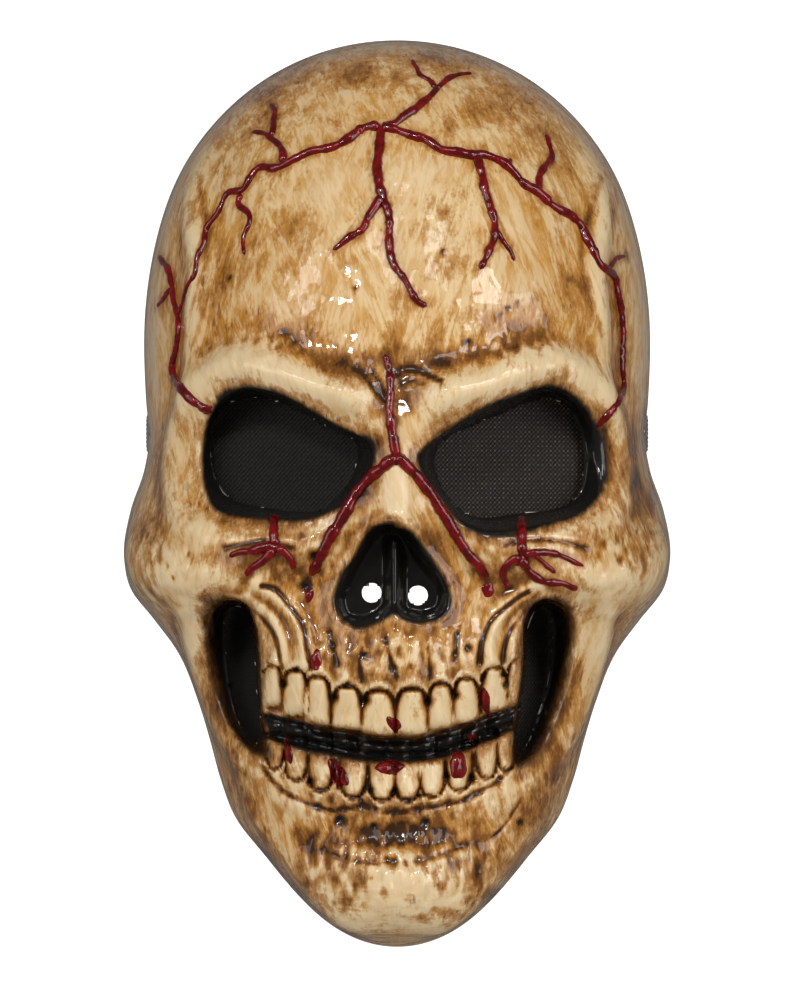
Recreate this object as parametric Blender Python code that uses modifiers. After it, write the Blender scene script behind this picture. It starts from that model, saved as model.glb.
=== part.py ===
"""Skull mask: a hollow moulded face shell, black mesh behind its openings, and an elastic head strap."""

import math

import bmesh
import bpy
import numpy as np
from mathutils import Vector
from mathutils.bvhtree import BVHTree
from mathutils.kdtree import KDTree

# Units and frame. Sizes here are millimetres: X to the viewer's right, Z up, and the face looks along -Y.
# The origin is in the plane of the side rims, on the middle line, level with the strap.
MM = 0.001

# Driving sizes of the shell
CROWN_Z = 117.0
CHIN_Z = -155.0
WALL = 1.8
SIDE_ROUNDNESS = 2.4
GRID_COLUMNS = 150
GRID_ROWS = 200
SHELL_TRIANGLES = 5900
# How much finer the outside is sampled when the inside is worked out from it
FINER = 2
# Spacing of the grid's lines: looser in the middle, and moved down to the teeth
COLUMN_EASE = 0.28
ROW_SHIFT = 0.16
ROW_DROP = 0.07
# The skull's forms fade out towards the side rims: the bulge where they start and how soon they are full
FORM_START = 0.12
FORM_RISE = 0.4

# The front view that the outlines below are drawn in: its distance and the plane where sizes are true
VIEW_DISTANCE = 1800.0
VIEW_PLANE_Y = -60.0
VIEW_Z = -20.5

# One row for each level of the shell: the half width of the oval that runs through it, the reach of the
# dome in front of its rim, and how far the rim stands in front of the origin's plane.
# Columns: z, oval, reach, rim
LEVELS = (
    (117, 100.0, 100, 10),
    (99, 96.5, 101, 6),
    (81, 93.0, 103, 3),
    (57, 87.2, 104, 0),
    (33, 82.0, 105, 0),
    (9, 77.0, 105, 0),
    (-3, 75.0, 104, 0),
    (-12, 76.0, 103, 0),
    (-24, 80.0, 102, 0),
    (-39, 82.8, 101, 0),
    (-48, 81.6, 100, 1),
    (-57, 75.8, 99, 3),
    (-66, 70.5, 97, 8),
    (-81, 67.2, 93, 14),
    (-93, 66.9, 89, 20),
    (-105, 68.2, 86, 27),
    (-117, 69.2, 87, 34),
    (-129, 65.5, 92, 41),
    (-141, 64.0, 98, 46),
    (-155, 65.0, 100, 50),
)

# Openings. Each socket or recess sinks between two outlines in the front view: its rim and the edge of its
# hole. The depth of the hole's edge is floor + slope * |x|.
LEFT_SOCKET = (
    (-59.5, -11), (-58, 1), (-54.5, 7), (-47, 12.5), (-38.5, 11.5), (-29.5, 8), (-18, 1.5),
    (-8.5, -3.5), (-6.5, -9), (-9.5, -16.5), (-18, -23.5), (-27, -27), (-47, -26.5), (-56.5, -22),
)
LEFT_EYE_HOLE = (
    (-55.5, -10), (-55.5, 0), (-53.5, 5.5), (-49, 8.5), (-40, 9.5), (-32, 7), (-24, 2.5),
    (-13, -3), (-11.8, -8), (-14, -15), (-19, -21), (-26, -24.5), (-46.5, -22), (-53, -17),
)
RIGHT_SOCKET = (
    (6, -9), (9, -3.5), (18, 2.5), (28, 8.5), (36.5, 12), (45, 13.5), (51, 11.5), (57, 6),
    (61.5, -3), (62.5, -12), (60, -22), (52, -26.5), (38, -30), (26, -30.5), (17, -26), (10, -17),
)
RIGHT_EYE_HOLE = (
    (11.5, -11), (13.5, -3.5), (22, 1), (30, 4.5), (37, 7.5), (44, 9.8), (49, 8.5), (53, 4.5),
    (55.5, -3), (56, -12), (54, -20), (48, -23.5), (37, -25), (24, -26), (15.5, -20.5),
)
LEFT_RECESS = (
    (-58.5, -60), (-57, -53), (-51, -49.8), (-45, -52), (-42, -58), (-40.8, -68), (-40.3, -81),
    (-39, -91.5), (-38.5, -97.5), (-41.5, -98.5), (-46, -95), (-50, -90), (-53.5, -83), (-56.5, -75),
    (-58.3, -67),
)
LEFT_CHEEK_HOLE = (
    (-51.8, -58), (-50, -53.2), (-46, -53.5), (-43.8, -59), (-42.6, -68), (-42, -79), (-41, -89),
    (-42.5, -94), (-46, -91), (-48.8, -84), (-50.5, -75), (-51.5, -66),
)
RIGHT_RECESS = (
    (37.5, -58), (40, -52.5), (45, -50), (51, -51.5), (54, -57), (54, -66), (52.5, -74),
    (50, -82), (47, -89), (43.5, -95.4), (39, -100), (35.2, -101), (34.5, -92), (36.2, -78),
    (37.3, -67),
)
RIGHT_CHEEK_HOLE = (
    (39, -60), (41.5, -54), (45, -53.2), (47, -58), (46.5, -67), (45.5, -75), (43, -83), (40.5, -90.5),
    (37.8, -96.5), (36, -95), (36.3, -88), (38, -78), (38.8, -69),
)
# Columns: name of the mesh behind it, rim outline, hole outline, depth at the middle line, slope
RECESSES = (
    ("eye_mesh_left", LEFT_SOCKET, LEFT_EYE_HOLE, -93.0, 0.42),
    ("eye_mesh_right", RIGHT_SOCKET, RIGHT_EYE_HOLE, -93.0, 0.42),
    ("side_mesh_left", LEFT_RECESS, LEFT_CHEEK_HOLE, -108.0, 1.0),
    ("side_mesh_right", RIGHT_RECESS, RIGHT_CHEEK_HOLE, -106.0, 1.0),
)

# Nose: a cavity with a wall down its middle and a round air hole in each half
NOSE_RIM = (
    (-3.5, -27.5), (3, -29), (9, -37.5), (14, -44), (16, -50), (14, -55.5), (8, -58), (1.5, -56.8),
    (-1.3, -55), (-5, -57.8), (-11, -59.5), (-17, -57.5), (-19.3, -51), (-16.5, -43.5), (-12.5, -35.5),
    (-8, -29),
)
NOSE_FLOOR_Y = -93.0
NOSE_WALL_WIDTH = 4.0
NOSE_LIP_HEIGHT = 1.5
NOSE_LIP_WIDTH = 2.5
DIVIDER_X = -0.8
DIVIDER_HALF_WIDTH = 2.0
DIVIDER_HEIGHT = 7.0
DIVIDER_TOP_Z = -28.0
DIVIDER_FADE = 6.0
AIR_HOLES = ((-7.6, -48.8), (6.3, -49.6))
AIR_HOLE_RADIUS = 3.0

# Mesh panels, strap and rivets
GAP = 0.3
PANEL_THICKNESS = 1.0
PANEL_OVERLAP = 3.5
# A panel lies behind every place of the shell's back this far round it and in front of this plane
PANEL_MARGIN = 1.5
PANEL_BACK_Y = -25.0
STRAP_WIDTH = 12.0
STRAP_THICKNESS = 1.5
STRAP_STEPS = 3
# The strap's course, seen from above, from its right end to the middle of the back of the head: x, y
STRAP_COURSE = (
    (72.1, -19), (73.0, -9), (73.9, 0), (76.4, 12), (78.3, 28), (77.8, 46), (73.8, 66), (63.5, 86),
    (46.5, 100), (25.0, 107.5), (0.0, 110),
)
RIVET_Y = -13.0
RIVET_RADIUS = 1.2
RIVET_HOLE_RADIUS = 1.5
RIVET_HOLE_LENGTH = 12.0
RIVET_HEAD_RADIUS = 3.0
RIVET_HEAD_THICKNESS = 1.0
# Half length of the stretch of the shell's side that gives the place of a rivet's outer end
RIVET_SEAT = 3.0
ROUND_SIDES = 24
OUTLINE_STEPS = 2
CUTTER_FRONT_Y = -140.0
CUTTER_BACK_Y = -30.0
MERGE_DISTANCE = 0.00001

# Veins, raised on the shell. Each has a start width, an end width and its course in the front view: x, z
VEINS = (
    (2.8, 2.2, ((-5, 91), (-14, 87.5), (-26, 83.5), (-36, 78), (-46, 75), (-52, 70.5), (-56, 62), (-60, 52),
                (-63.5, 41), (-66, 34))),
    (3.0, 2.0, ((-5, 91), (-5.5, 78), (-2.5, 63), (-2, 52), (3, 44), (9.5, 37))),
    (2.4, 1.6, ((-5, 69), (-10.5, 61), (-19.5, 53))),
    (3.0, 1.8, ((-2, 92), (9.5, 99.5), (13, 103), (21, 107))),
    (2.0, 1.4, ((12.5, 103), (7, 108.5), (4.5, 111))),
    (3.0, 2.4, ((-2, 92), (9, 87.5), (22, 82.5), (33, 79), (43, 72), (52, 65.5), (58, 58), (63, 49.5),
                (66, 40), (67, 27), (67.5, 14), (66, 8.5), (60, 1.5))),
    (2.2, 1.5, ((42.5, 72), (43, 78.5), (46.5, 83), (45, 89))),
    (2.8, 1.8, ((23.5, 82), (26.5, 73), (28.5, 62), (26.5, 53), (25, 48.5))),
    (2.4, 1.8, ((-70, 52), (-67, 43), (-65.5, 33), (-66.5, 20), (-64, 13), (-58, 7), (-56, 5.5))),
    (2.6, 3.0, ((-3.5, 23), (-2, 12), (-1.5, 2), (0, -7.5))),
    (3.0, 2.4, ((-4, -11), (-12, -19), (-17.5, -30), (-21.5, -38), (-25.5, -44))),
    (3.0, 2.4, ((1, -10), (12, -22), (19.5, -34), (25.5, -43.5), (27.5, -48))),
    (2.0, 1.4, ((-36.5, -27.5), (-37, -34.5), (-44, -37), (-50, -38))),
    (2.0, 1.4, ((37.5, -27.5), (37.5, -37), (33, -42.5), (33, -48))),
)
VEIN_STEPS = 3
VEIN_SIDES = 3
VEIN_SINK = 0.1

# Teeth. Columns: middle x, half width, gum z, tip z
UPPER_TEETH = (
    (-37.5, 2.7, -71.4, -82.8),
    (-30.5, 3.4, -72.6, -85.8),
    (-23.9, 3.4, -74.4, -89.7),
    (-15.0, 3.9, -77.4, -90.3),
    (-5.6, 4.4, -78.6, -92.4),
    (4.5, 4.2, -78.0, -92.4),
    (13.2, 3.4, -76.5, -90.0),
    (20.7, 3.4, -75.0, -88.5),
    (29.4, 3.4, -71.7, -84.9),
    (35.7, 2.3, -69.9, -82.8),
)
LOWER_TEETH = (
    (-36.5, 2.3, -100.8, -92.4),
    (-30.2, 3.0, -104.4, -93.6),
    (-22.8, 3.2, -107.4, -95.4),
    (-13.0, 3.4, -109.5, -97.2),
    (-4.4, 3.4, -110.4, -98.4),
    (3.2, 3.4, -110.4, -98.4),
    (10.5, 3.3, -109.2, -98.1),
    (18.5, 3.2, -107.4, -96.0),
    (26.9, 2.7, -103.8, -91.8),
    (32.7, 2.4, -101.4, -89.4),
)
TOOTH_HEIGHT = 5.0
TOOTH_BED = 2.6
TOOTH_NECK = 0.8
TOOTH_FLARE = 0.25
GUM_EDGE = 1.5
BED_MARGIN = 5.0
BED_FADE = 3.0
ROOT_HEIGHT = 1.8
ROOT_WIDTH = 0.75
ROOT_LENGTH = 14.0
MOUTH_GAP = (
    (-41, -88.5), (-29.5, -91.0), (-17.5, -93.2), (-5.5, -95.4), (6.5, -95.4), (18.5, -92.6),
    (30.5, -88.2), (37, -86),
)
MOUTH_HALF_HEIGHT = 3.4
MOUTH_DEPTH = 8.0
MOUTH_EDGE = 2.0

# Swellings and hollows that both halves of the skull share. Columns: x, z, radius x, radius z, height
SWELLINGS = (
    (26, 52, 26, 24, 2.0),
    (13, 13, 9, 6, 3.2),
    (0, 20, 6, 9, -1.6),
    (72, 24, 9, 30, -3.0),
    (60, -38, 17, 10, 5.5),
    (30, -44, 10, 7, -2.0),
    (0, -70, 30, 14, 4.0),
    (0, -108, 27, 8, 2.0),
    (0, -122, 26, 6, -2.0),
    (0, -139, 20, 12, 6.0),
    (12, -146, 12, 9, 2.0),
    (57, -108, 14, 12, -2.0),
)

# Ridges and grooves that both halves share. Columns: x, z, half width, height
BROW_RING = (
    (7, 3, 5, 2.5), (14, 9, 6, 5.0), (24, 13, 6, 6.0), (36, 17.5, 6, 6.5), (48, 18.5, 6, 6.0),
    (58, 12, 6, 5.0), (64, 2, 5, 4.5), (66, -12, 5, 4.0), (63, -25, 5, 3.5), (52, -31, 5, 3.5),
    (36, -34, 5, 3.0), (20, -31, 5, 2.5), (10, -22, 4, 1.5),
)
TEMPLE_LINE = (
    (62, 12, 4, 1.0), (61, 30, 4, 2.4), (59, 50, 4, 2.6), (61, 66, 4, 2.2), (58, 82, 5, 1.0),
)
CHEEK_ARCH = (
    (24, -38, 6, 2.0), (38, -41, 7, 4.0), (52, -44, 7, 5.0), (66, -44, 8, 4.5), (78, -38, 9, 2.5),
)
JAW_BRANCH = (
    (61, -54, 4, 2.5), (59.5, -66, 4, 3.0), (56.5, -80, 4, 3.0), (50, -93, 4.5, 3.0),
    (41, -104, 5, 2.5), (28, -114, 6, 1.5),
)
JAW_EDGE = (
    (50, -104, 5, 1.0), (40, -117, 5, 2.5), (28, -131, 6, 3.0), (14, -147, 7, 2.0),
)
FACE_FOLD = (
    (42, -47, 2.5, 2.5), (33, -53, 2.6, 3.2), (28.5, -61, 2.6, 3.2), (27.5, -70, 2.4, 2.5),
)
SECOND_FOLD = (
    (45, -50.5, 2.2, 2.0), (38.5, -55.5, 2.2, 3.0), (35, -62, 2.2, 3.0), (34.5, -69, 2.2, 2.5),
)
RIDGES = (BROW_RING, TEMPLE_LINE, CHEEK_ARCH, JAW_BRANCH, JAW_EDGE)
FOLDS = (FACE_FOLD, SECOND_FOLD)
NOSE_BRIDGE = (
    (0, 9, 5, 0.5), (0, 0, 5.5, 2.5), (0, -10, 6, 5.5), (0, -20, 7, 8.0), (0, -27, 8, 9.0),
)


def smooth_table(at, rows, column):
    """A column of a table of rows at heights between them, on a smooth curve through the rows."""
    table = np.array(sorted(rows), float)
    places, values = table[:, 0], table[:, column]
    slopes = np.gradient(values, places)
    i = np.clip(np.searchsorted(places, at) - 1, 0, len(places) - 2)
    gap = places[i + 1] - places[i]
    t = np.clip((at - places[i]) / gap, 0, 1)
    rise = (1 + 2 * t) * (1 - t) ** 2 * values[i] + t**2 * (3 - 2 * t) * values[i + 1]
    return rise + gap * (t * (1 - t) ** 2 * slopes[i] + t**2 * (t - 1) * slopes[i + 1])


def smooth_step(t):
    """0 below 0, 1 above 1, and a smooth rise between them."""
    t = np.clip(t, 0, 1)
    return t * t * (3 - 2 * t)


def smooth_path(points, closed=False, steps=6):
    """More points on a Catmull-Rom curve through the given ones, with any further columns carried along."""
    p = np.array(points, float)
    if closed:
        p = np.concatenate([p[-1:], p, p[:2]])
    else:
        p = np.concatenate([2 * p[:1] - p[1:2], p, 2 * p[-1:] - p[-2:-1]])
    t = np.linspace(0, 1, steps, endpoint=False)[None, :, None]
    a, b, c, d = (p[k : len(p) - 3 + k, None, :] for k in range(4))
    curve = 0.5 * (2 * b + (c - a) * t + (2 * a - 5 * b + 4 * c - d) * t**2 + (3 * b - a - 3 * c + d) * t**3)
    curve = curve.reshape(-1, p.shape[1])
    return curve if closed else np.concatenate([curve, p[-2:-1]])


def distance_to_path(x, z, path):
    """The distance of each place from a path in the front view, and the path's further columns there."""
    best = np.full(x.shape, 1e9)
    columns = np.zeros(x.shape + (path.shape[1] - 2,))
    for start, end in zip(path[:-1], path[1:]):
        step = end[:2] - start[:2]
        t = ((x - start[0]) * step[0] + (z - start[1]) * step[1]) / max(step @ step, 1e-9)
        t = np.clip(t, 0, 1)
        gap = np.hypot(x - start[0] - t * step[0], z - start[1] - t * step[1])
        nearer = gap < best
        best = np.where(nearer, gap, best)
        mixed = start[2:] + t[..., None] * (end[2:] - start[2:])
        columns = np.where(nearer[..., None], mixed, columns)
    return best, columns


def inside_outline(x, z, outline):
    """How far each place lies inside a closed outline in the front view, and below 0 outside it."""
    curve = smooth_path(outline, closed=True)
    ring = np.concatenate([curve, curve[:1]])
    gap, _ = distance_to_path(x, z, ring)
    crossings = np.zeros(x.shape, int)
    for (x0, z0), (x1, z1) in zip(ring[:-1], ring[1:]):
        spans = (z0 > z) != (z1 > z)
        rise = z1 - z0 if z1 != z0 else 1e-9
        crossings += spans & (x < x0 + (z - z0) / rise * (x1 - x0))
    return np.where(crossings % 2 == 1, gap, -gap)


def ridge(x, z, rows):
    """The height of a ridge whose rows give its course, half width and height."""
    gap, columns = distance_to_path(x, z, smooth_path(rows))
    return columns[..., 1] * np.exp(-((gap / np.maximum(columns[..., 0], 0.1)) ** 2))


def tooth(x, z, middle, half_width, gum_z, tip_z):
    """The height of one tooth: a rounded block, narrower at the gum than at its tip."""
    along = (z - gum_z) / (tip_z - gum_z)
    across = (x - middle) / (half_width * (TOOTH_NECK + TOOTH_FLARE * np.clip(along, 0, 1)))
    block = np.clip(1 - np.abs(across) ** 3, 0, 1) ** 0.5
    length = np.clip(1 - np.abs(2 * along - 1) ** 4, 0, 1) ** 0.5
    return block * length


def teeth_relief(x, z):
    """Both rows of teeth on a sunken bed, with the swelling of each root behind its gum."""
    height = np.zeros(x.shape)
    for row, root in ((UPPER_TEETH, 1), (LOWER_TEETH, -1)):
        rows = np.array(row)
        gums = np.interp(x, rows[:, 0], rows[:, 2])
        tips = np.interp(x, rows[:, 0], rows[:, 3])
        left_end = smooth_step((x - rows[0, 0] + BED_MARGIN) / BED_FADE)
        right_end = smooth_step((rows[-1, 0] + BED_MARGIN - x) / BED_FADE)
        ends = left_end * right_end
        below = smooth_step((gums - z) * root / GUM_EDGE + 0.5)
        bed = below * smooth_step((z - tips) * root / GUM_EDGE + 1.5)
        height -= TOOTH_BED * bed * ends
        for middle, half_width, gum_z, tip_z in row:
            height += TOOTH_HEIGHT * tooth(x, z, middle, half_width, gum_z, tip_z)
            reach = np.clip((z - gum_z) * root / ROOT_LENGTH, 0, 1)
            swell = np.exp(-(((x - middle) / (half_width * ROOT_WIDTH)) ** 2)) * (1 - reach) ** 1.5
            height += ROOT_HEIGHT * swell * smooth_step((z - gum_z) * root / GUM_EDGE)
    return height


def broad_relief(x, z):
    """The height of the skull's broad forms above the plain dome, along its normals."""
    side = np.abs(x)
    height = np.zeros(x.shape)
    for cx, cz, rx, rz, rise in SWELLINGS:
        height += rise * np.exp(-(((side - cx) / rx) ** 2) - ((z - cz) / rz) ** 2)
    for rows in RIDGES:
        height += ridge(side, z, rows)
    return height + ridge(x, z, NOSE_BRIDGE)


def fine_relief(x, z):
    """The height of the folds, the teeth and the lip of the nose, straight forwards."""
    height = teeth_relief(x, z)
    for rows in FOLDS:
        height += ridge(np.abs(x), z, rows)
    nose = inside_outline(x, z, NOSE_RIM)
    return height + NOSE_LIP_HEIGHT * np.exp(-((nose / NOSE_LIP_WIDTH) ** 2))


def sink(x, y, z):
    """The depth of each place once the sockets, the recesses, the mouth and the nose are sunk into it."""
    gap, _ = distance_to_path(x, z, smooth_path(MOUTH_GAP))
    y = y + MOUTH_DEPTH * smooth_step((MOUTH_HALF_HEIGHT + MOUTH_EDGE / 2 - gap) / MOUTH_EDGE)
    for _, rim, hole, floor, slope in RECESSES:
        from_rim = np.maximum(inside_outline(x, z, rim), 0)
        to_hole = np.maximum(-inside_outline(x, z, hole), 0)
        share = smooth_step(from_rim / np.maximum(from_rim + to_hole, 1e-6))
        y = y + share * np.maximum(floor + slope * np.abs(x) - y, 0)
    nose = inside_outline(x, z, NOSE_RIM)
    divider = np.exp(-(((x - DIVIDER_X) / DIVIDER_HALF_WIDTH) ** 2))
    floor = NOSE_FLOOR_Y - DIVIDER_HEIGHT * divider * smooth_step((DIVIDER_TOP_Z - z) / DIVIDER_FADE)
    return y + smooth_step(nose / NOSE_WALL_WIDTH) * np.maximum(floor - y, 0)


def dome(columns, rows):
    """The plain dome under the skull's forms, as grids of x, y, z and how far it has bulged, 0 to 1."""
    s = np.linspace(-1, 1, columns + 1)
    t = np.linspace(-1, 1, rows + 1)
    s = s * (1 - COLUMN_EASE + COLUMN_EASE * s * s)
    t = t - ROW_SHIFT * np.sin(math.pi * t) - ROW_DROP * (1 - t * t)
    s, t = np.meshgrid(s, t)
    p, q = s * np.sqrt(1 - t * t / 2), t * np.sqrt(1 - s * s / 2)
    radius = np.clip(np.hypot(p, q), 1e-9, 1)
    spread = np.sin(radius * math.pi / 2)
    p, q = p * spread / radius, q * spread / radius
    z = (CROWN_Z + CHIN_Z) / 2 + q * (CROWN_Z - CHIN_Z) / 2
    x = p * smooth_table(z, LEVELS, 1)
    bulge = np.clip(1 - spread**SIDE_ROUNDNESS, 0, 1) ** (1 / SIDE_ROUNDNESS)
    y = -smooth_table(z, LEVELS, 3) - smooth_table(z, LEVELS, 2) * bulge
    return x, y, z, bulge


def grid_normals(points):
    """Outward unit normals of a grid of points."""
    along, up = np.gradient(points, axis=1), np.gradient(points, axis=0)
    normal = np.cross(along, up)
    return normal / np.maximum(np.linalg.norm(normal, axis=2, keepdims=True), 1e-9)


def skull_grid(columns, rows):
    """The outer surface of the shell, as a grid of points in millimetres."""
    x, y, z, bulge = dome(columns, rows)
    points = np.stack([x, y, z], axis=2)
    height = broad_relief(x, z) * smooth_step((bulge - FORM_START) / FORM_RISE)
    points = points + grid_normals(points) * height[..., None]
    points[..., 1] -= fine_relief(points[..., 0], points[..., 2])
    points[..., 1] = sink(points[..., 0], points[..., 1], points[..., 2])
    return points


def from_view(points):
    """Real places for places given as they look from the front, VIEW_DISTANCE away from VIEW_PLANE_Y."""
    spread = 1 + (points[..., 1] - VIEW_PLANE_Y) / VIEW_DISTANCE
    real = points.copy()
    real[..., 0] = points[..., 0] * spread
    real[..., 2] = VIEW_Z + (points[..., 2] - VIEW_Z) * spread
    return real


def inner_grid(columns, rows):
    """The inner surface in the front view: the reach of a ball of the wall's size rolled on the outside."""
    x, y, z, bulge = dome(columns, rows)
    middle_z = (CROWN_Z + CHIN_Z) / 2
    from_middle = np.maximum(np.hypot(x, z - middle_z), 1.0)
    inset = WALL * (1 - bulge**2) / from_middle
    x, z = x * (1 - inset), z - (z - middle_z) * inset
    outer = skull_grid(columns * FINER, rows * FINER).reshape(-1, 3)
    tree = KDTree(len(outer))
    for k, (px, _, pz) in enumerate(outer):
        tree.insert((px, 0, pz), k)
    tree.balance()
    depths = outer[:, 1]
    flat_y = y.ravel()
    for k, (px, pz) in enumerate(zip(x.ravel(), z.ravel())):
        near = tree.find_range((px, 0, pz), WALL)
        if near:
            flat_y[k] = max(depths[i] + math.sqrt(max(WALL**2 - gap**2, 0)) for _, i, gap in near)
    return np.stack([x, flat_y.reshape(x.shape), z], axis=2)


def grid_faces(points):
    """The corner numbers of each cell of a grid of points."""
    rows, columns = points.shape[:2]
    index = np.arange(rows * columns).reshape(rows, columns)
    corners = (index[:-1, :-1], index[:-1, 1:], index[1:, 1:], index[1:, :-1])
    return np.stack([corner.ravel() for corner in corners], axis=1)


def closed_shell(name, outer, inner, collection):
    """A closed mesh between two grids of points, joined along their edges."""
    rows, columns = outer.shape[:2]
    count = rows * columns
    index = np.arange(count).reshape(rows, columns)
    front = grid_faces(outer)
    back = front[:, ::-1] + count
    ring = np.concatenate([index[0, :-1], index[:-1, -1], index[-1, :0:-1], index[:0:-1, 0]])
    after = np.roll(ring, -1)
    rim = np.stack([after, ring, ring + count, after + count], axis=1)
    points = np.concatenate([outer.reshape(-1, 3), inner.reshape(-1, 3)]) * MM
    mesh = bpy.data.meshes.new(name)
    mesh.from_pydata(points.tolist(), [], np.concatenate([front, back, rim]).tolist())
    made = bpy.data.objects.new(name, mesh)
    collection.objects.link(made)
    return made


def curve_mesh_object(name, curve, collection):
    """A mesh object with the shape of a curve, its doubled points merged."""
    drawn = bpy.data.objects.new(name + "_curve", curve)
    collection.objects.link(drawn)
    bpy.context.view_layer.update()
    mesh = bpy.data.meshes.new_from_object(drawn.evaluated_get(bpy.context.evaluated_depsgraph_get()))
    bpy.data.objects.remove(drawn)
    shape = bmesh.new()
    shape.from_mesh(mesh)
    bmesh.ops.remove_doubles(shape, verts=shape.verts, dist=MERGE_DISTANCE)
    bmesh.ops.recalc_face_normals(shape, faces=shape.faces)
    shape.to_mesh(mesh)
    shape.free()
    made = bpy.data.objects.new(name, mesh)
    collection.objects.link(made)
    return made


def prism(name, outline, first_y, last_y, collection):
    """A closed outline in the front view drawn out along Y, as a filled curve with an extrusion."""
    curve = bpy.data.curves.new(name, "CURVE")
    curve.dimensions = "2D"
    curve.fill_mode = "BOTH"
    curve.extrude = (last_y - first_y) / 2 * MM
    spline = curve.splines.new("POLY")
    spline.points.add(len(outline) - 1)
    for point, (x, z) in zip(spline.points, outline):
        point.co = (x * MM, z * MM, 0, 1)
    spline.use_cyclic_u = True
    made = curve_mesh_object(name, curve, collection)
    made.rotation_euler = (math.pi / 2, 0, 0)
    made.location.y = (first_y + last_y) / 2 * MM
    return made


def cylinder_x(name, x, y, radius, collection):
    """A cylinder that lies along X, long enough to cut a rivet's hole."""
    shape = bmesh.new()
    size = radius * MM
    length = RIVET_HOLE_LENGTH * MM
    bmesh.ops.create_cone(
        shape, cap_ends=True, segments=ROUND_SIDES, radius1=size, radius2=size, depth=length
    )
    mesh = bpy.data.meshes.new(name)
    shape.to_mesh(mesh)
    shape.free()
    made = bpy.data.objects.new(name, mesh)
    made.rotation_euler = (0, math.pi / 2, 0)
    made.location = Vector((x, y, 0)) * MM
    collection.objects.link(made)
    return made


def cut(target, cutter, operation="DIFFERENCE"):
    """Gives an object an exact Boolean with another one, which is shown as wires."""
    modifier = target.modifiers.new(cutter.name, "BOOLEAN")
    modifier.operation = operation
    modifier.solver = "EXACT"
    modifier.object = cutter
    cutter.display_type = "WIRE"
    cutter.hide_render = True


def real_outline(outline, depth):
    """An outline of the front view at its real size, where depth gives the y of each of its points."""
    curve = smooth_path(outline, closed=True, steps=OUTLINE_STEPS)
    points = np.stack([curve[:, 0], depth(curve[:, 0]), curve[:, 1]], axis=1)
    return from_view(points)


def grown(outline, distance):
    """A closed outline of x and z moved outwards by a distance, and evened out."""
    along = np.roll(outline, -1, axis=0) - np.roll(outline, 1, axis=0)
    outward = np.stack([along[:, 1], -along[:, 0]], axis=1)
    outward /= np.linalg.norm(outward, axis=1, keepdims=True)
    after = np.roll(outline, -1, axis=0)
    doubled_area = (outline[:, 0] * after[:, 1] - after[:, 0] * outline[:, 1]).sum()
    moved = outline + outward * distance * np.sign(doubled_area)
    return 0.5 * moved + 0.25 * (np.roll(moved, 1, axis=0) + np.roll(moved, -1, axis=0))


def mesh_panel(name, rim_rows, inner, collection):
    """A flat mesh panel close behind the back of an opening, a little larger than the opening."""
    _, _, hole, floor, slope = rim_rows
    around = np.abs(inside_outline(inner[..., 0], inner[..., 2], hole)) < PANEL_OVERLAP + PANEL_MARGIN
    beyond = inner[..., 1] - floor - slope * np.abs(inner[..., 0])
    behind = beyond[around & (inner[..., 1] < PANEL_BACK_Y)].max() + GAP
    edge = real_outline(hole, lambda x: floor + slope * np.abs(x))
    outline = grown(edge[:, (0, 2)], PANEL_OVERLAP)
    depth = floor + slope * np.abs(outline[:, 0]) + behind
    points = np.stack([outline[:, 0], depth, outline[:, 1]], axis=1) * MM
    mesh = bpy.data.meshes.new(name)
    mesh.from_pydata(points.tolist(), [], [list(range(len(points)))])
    made = bpy.data.objects.new(name, mesh)
    collection.objects.link(made)
    thick = made.modifiers.new("Thickness", "SOLIDIFY")
    thick.thickness = PANEL_THICKNESS * MM
    thick.offset = 1 if mesh.polygons[0].normal.y > 0 else -1
    return made


def strap_object(name, collection):
    """The elastic strap: a flat band from one inner side of the shell round the head to the other."""
    right = smooth_path(STRAP_COURSE, steps=STRAP_STEPS)
    left = right[-2::-1] * (-1, 1)
    course = np.concatenate([right, left]) * MM
    curve = bpy.data.curves.new(name, "CURVE")
    curve.dimensions = "2D"
    curve.extrude = STRAP_WIDTH / 2 * MM
    spline = curve.splines.new("POLY")
    spline.points.add(len(course) - 1)
    for point, (x, y) in zip(spline.points, course):
        point.co = (x, y, 0, 1)
    made = curve_mesh_object(name, curve, collection)
    thick = made.modifiers.new("Thickness", "SOLIDIFY")
    thick.thickness = STRAP_THICKNESS * MM
    thick.offset = 0
    return made


def rivet(name, side, outer_x, strap_x, collection):
    """A plain flush rivet: a head inside the strap and a shaft out to the shell's outer face."""
    head_start = strap_x - STRAP_THICKNESS / 2 - GAP - RIVET_HEAD_THICKNESS
    head_end = head_start + RIVET_HEAD_THICKNESS
    profile = (
        (0, head_start), (RIVET_HEAD_RADIUS, head_start), (RIVET_HEAD_RADIUS, head_end),
        (RIVET_RADIUS, head_end), (RIVET_RADIUS, outer_x), (0, outer_x),
    )
    mesh = bpy.data.meshes.new(name)
    points = [(x * MM * side, radius * MM, 0) for radius, x in profile]
    mesh.from_pydata(points, [(k, k + 1) for k in range(len(points) - 1)], [])
    made = bpy.data.objects.new(name, mesh)
    made.location.y = RIVET_Y * MM
    collection.objects.link(made)
    turned = made.modifiers.new("Turned", "SCREW")
    turned.axis = "X"
    turned.steps = turned.render_steps = ROUND_SIDES
    turned.use_merge_vertices = True
    turned.merge_threshold = MERGE_DISTANCE
    turned.use_normal_flip = side > 0
    return made


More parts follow.
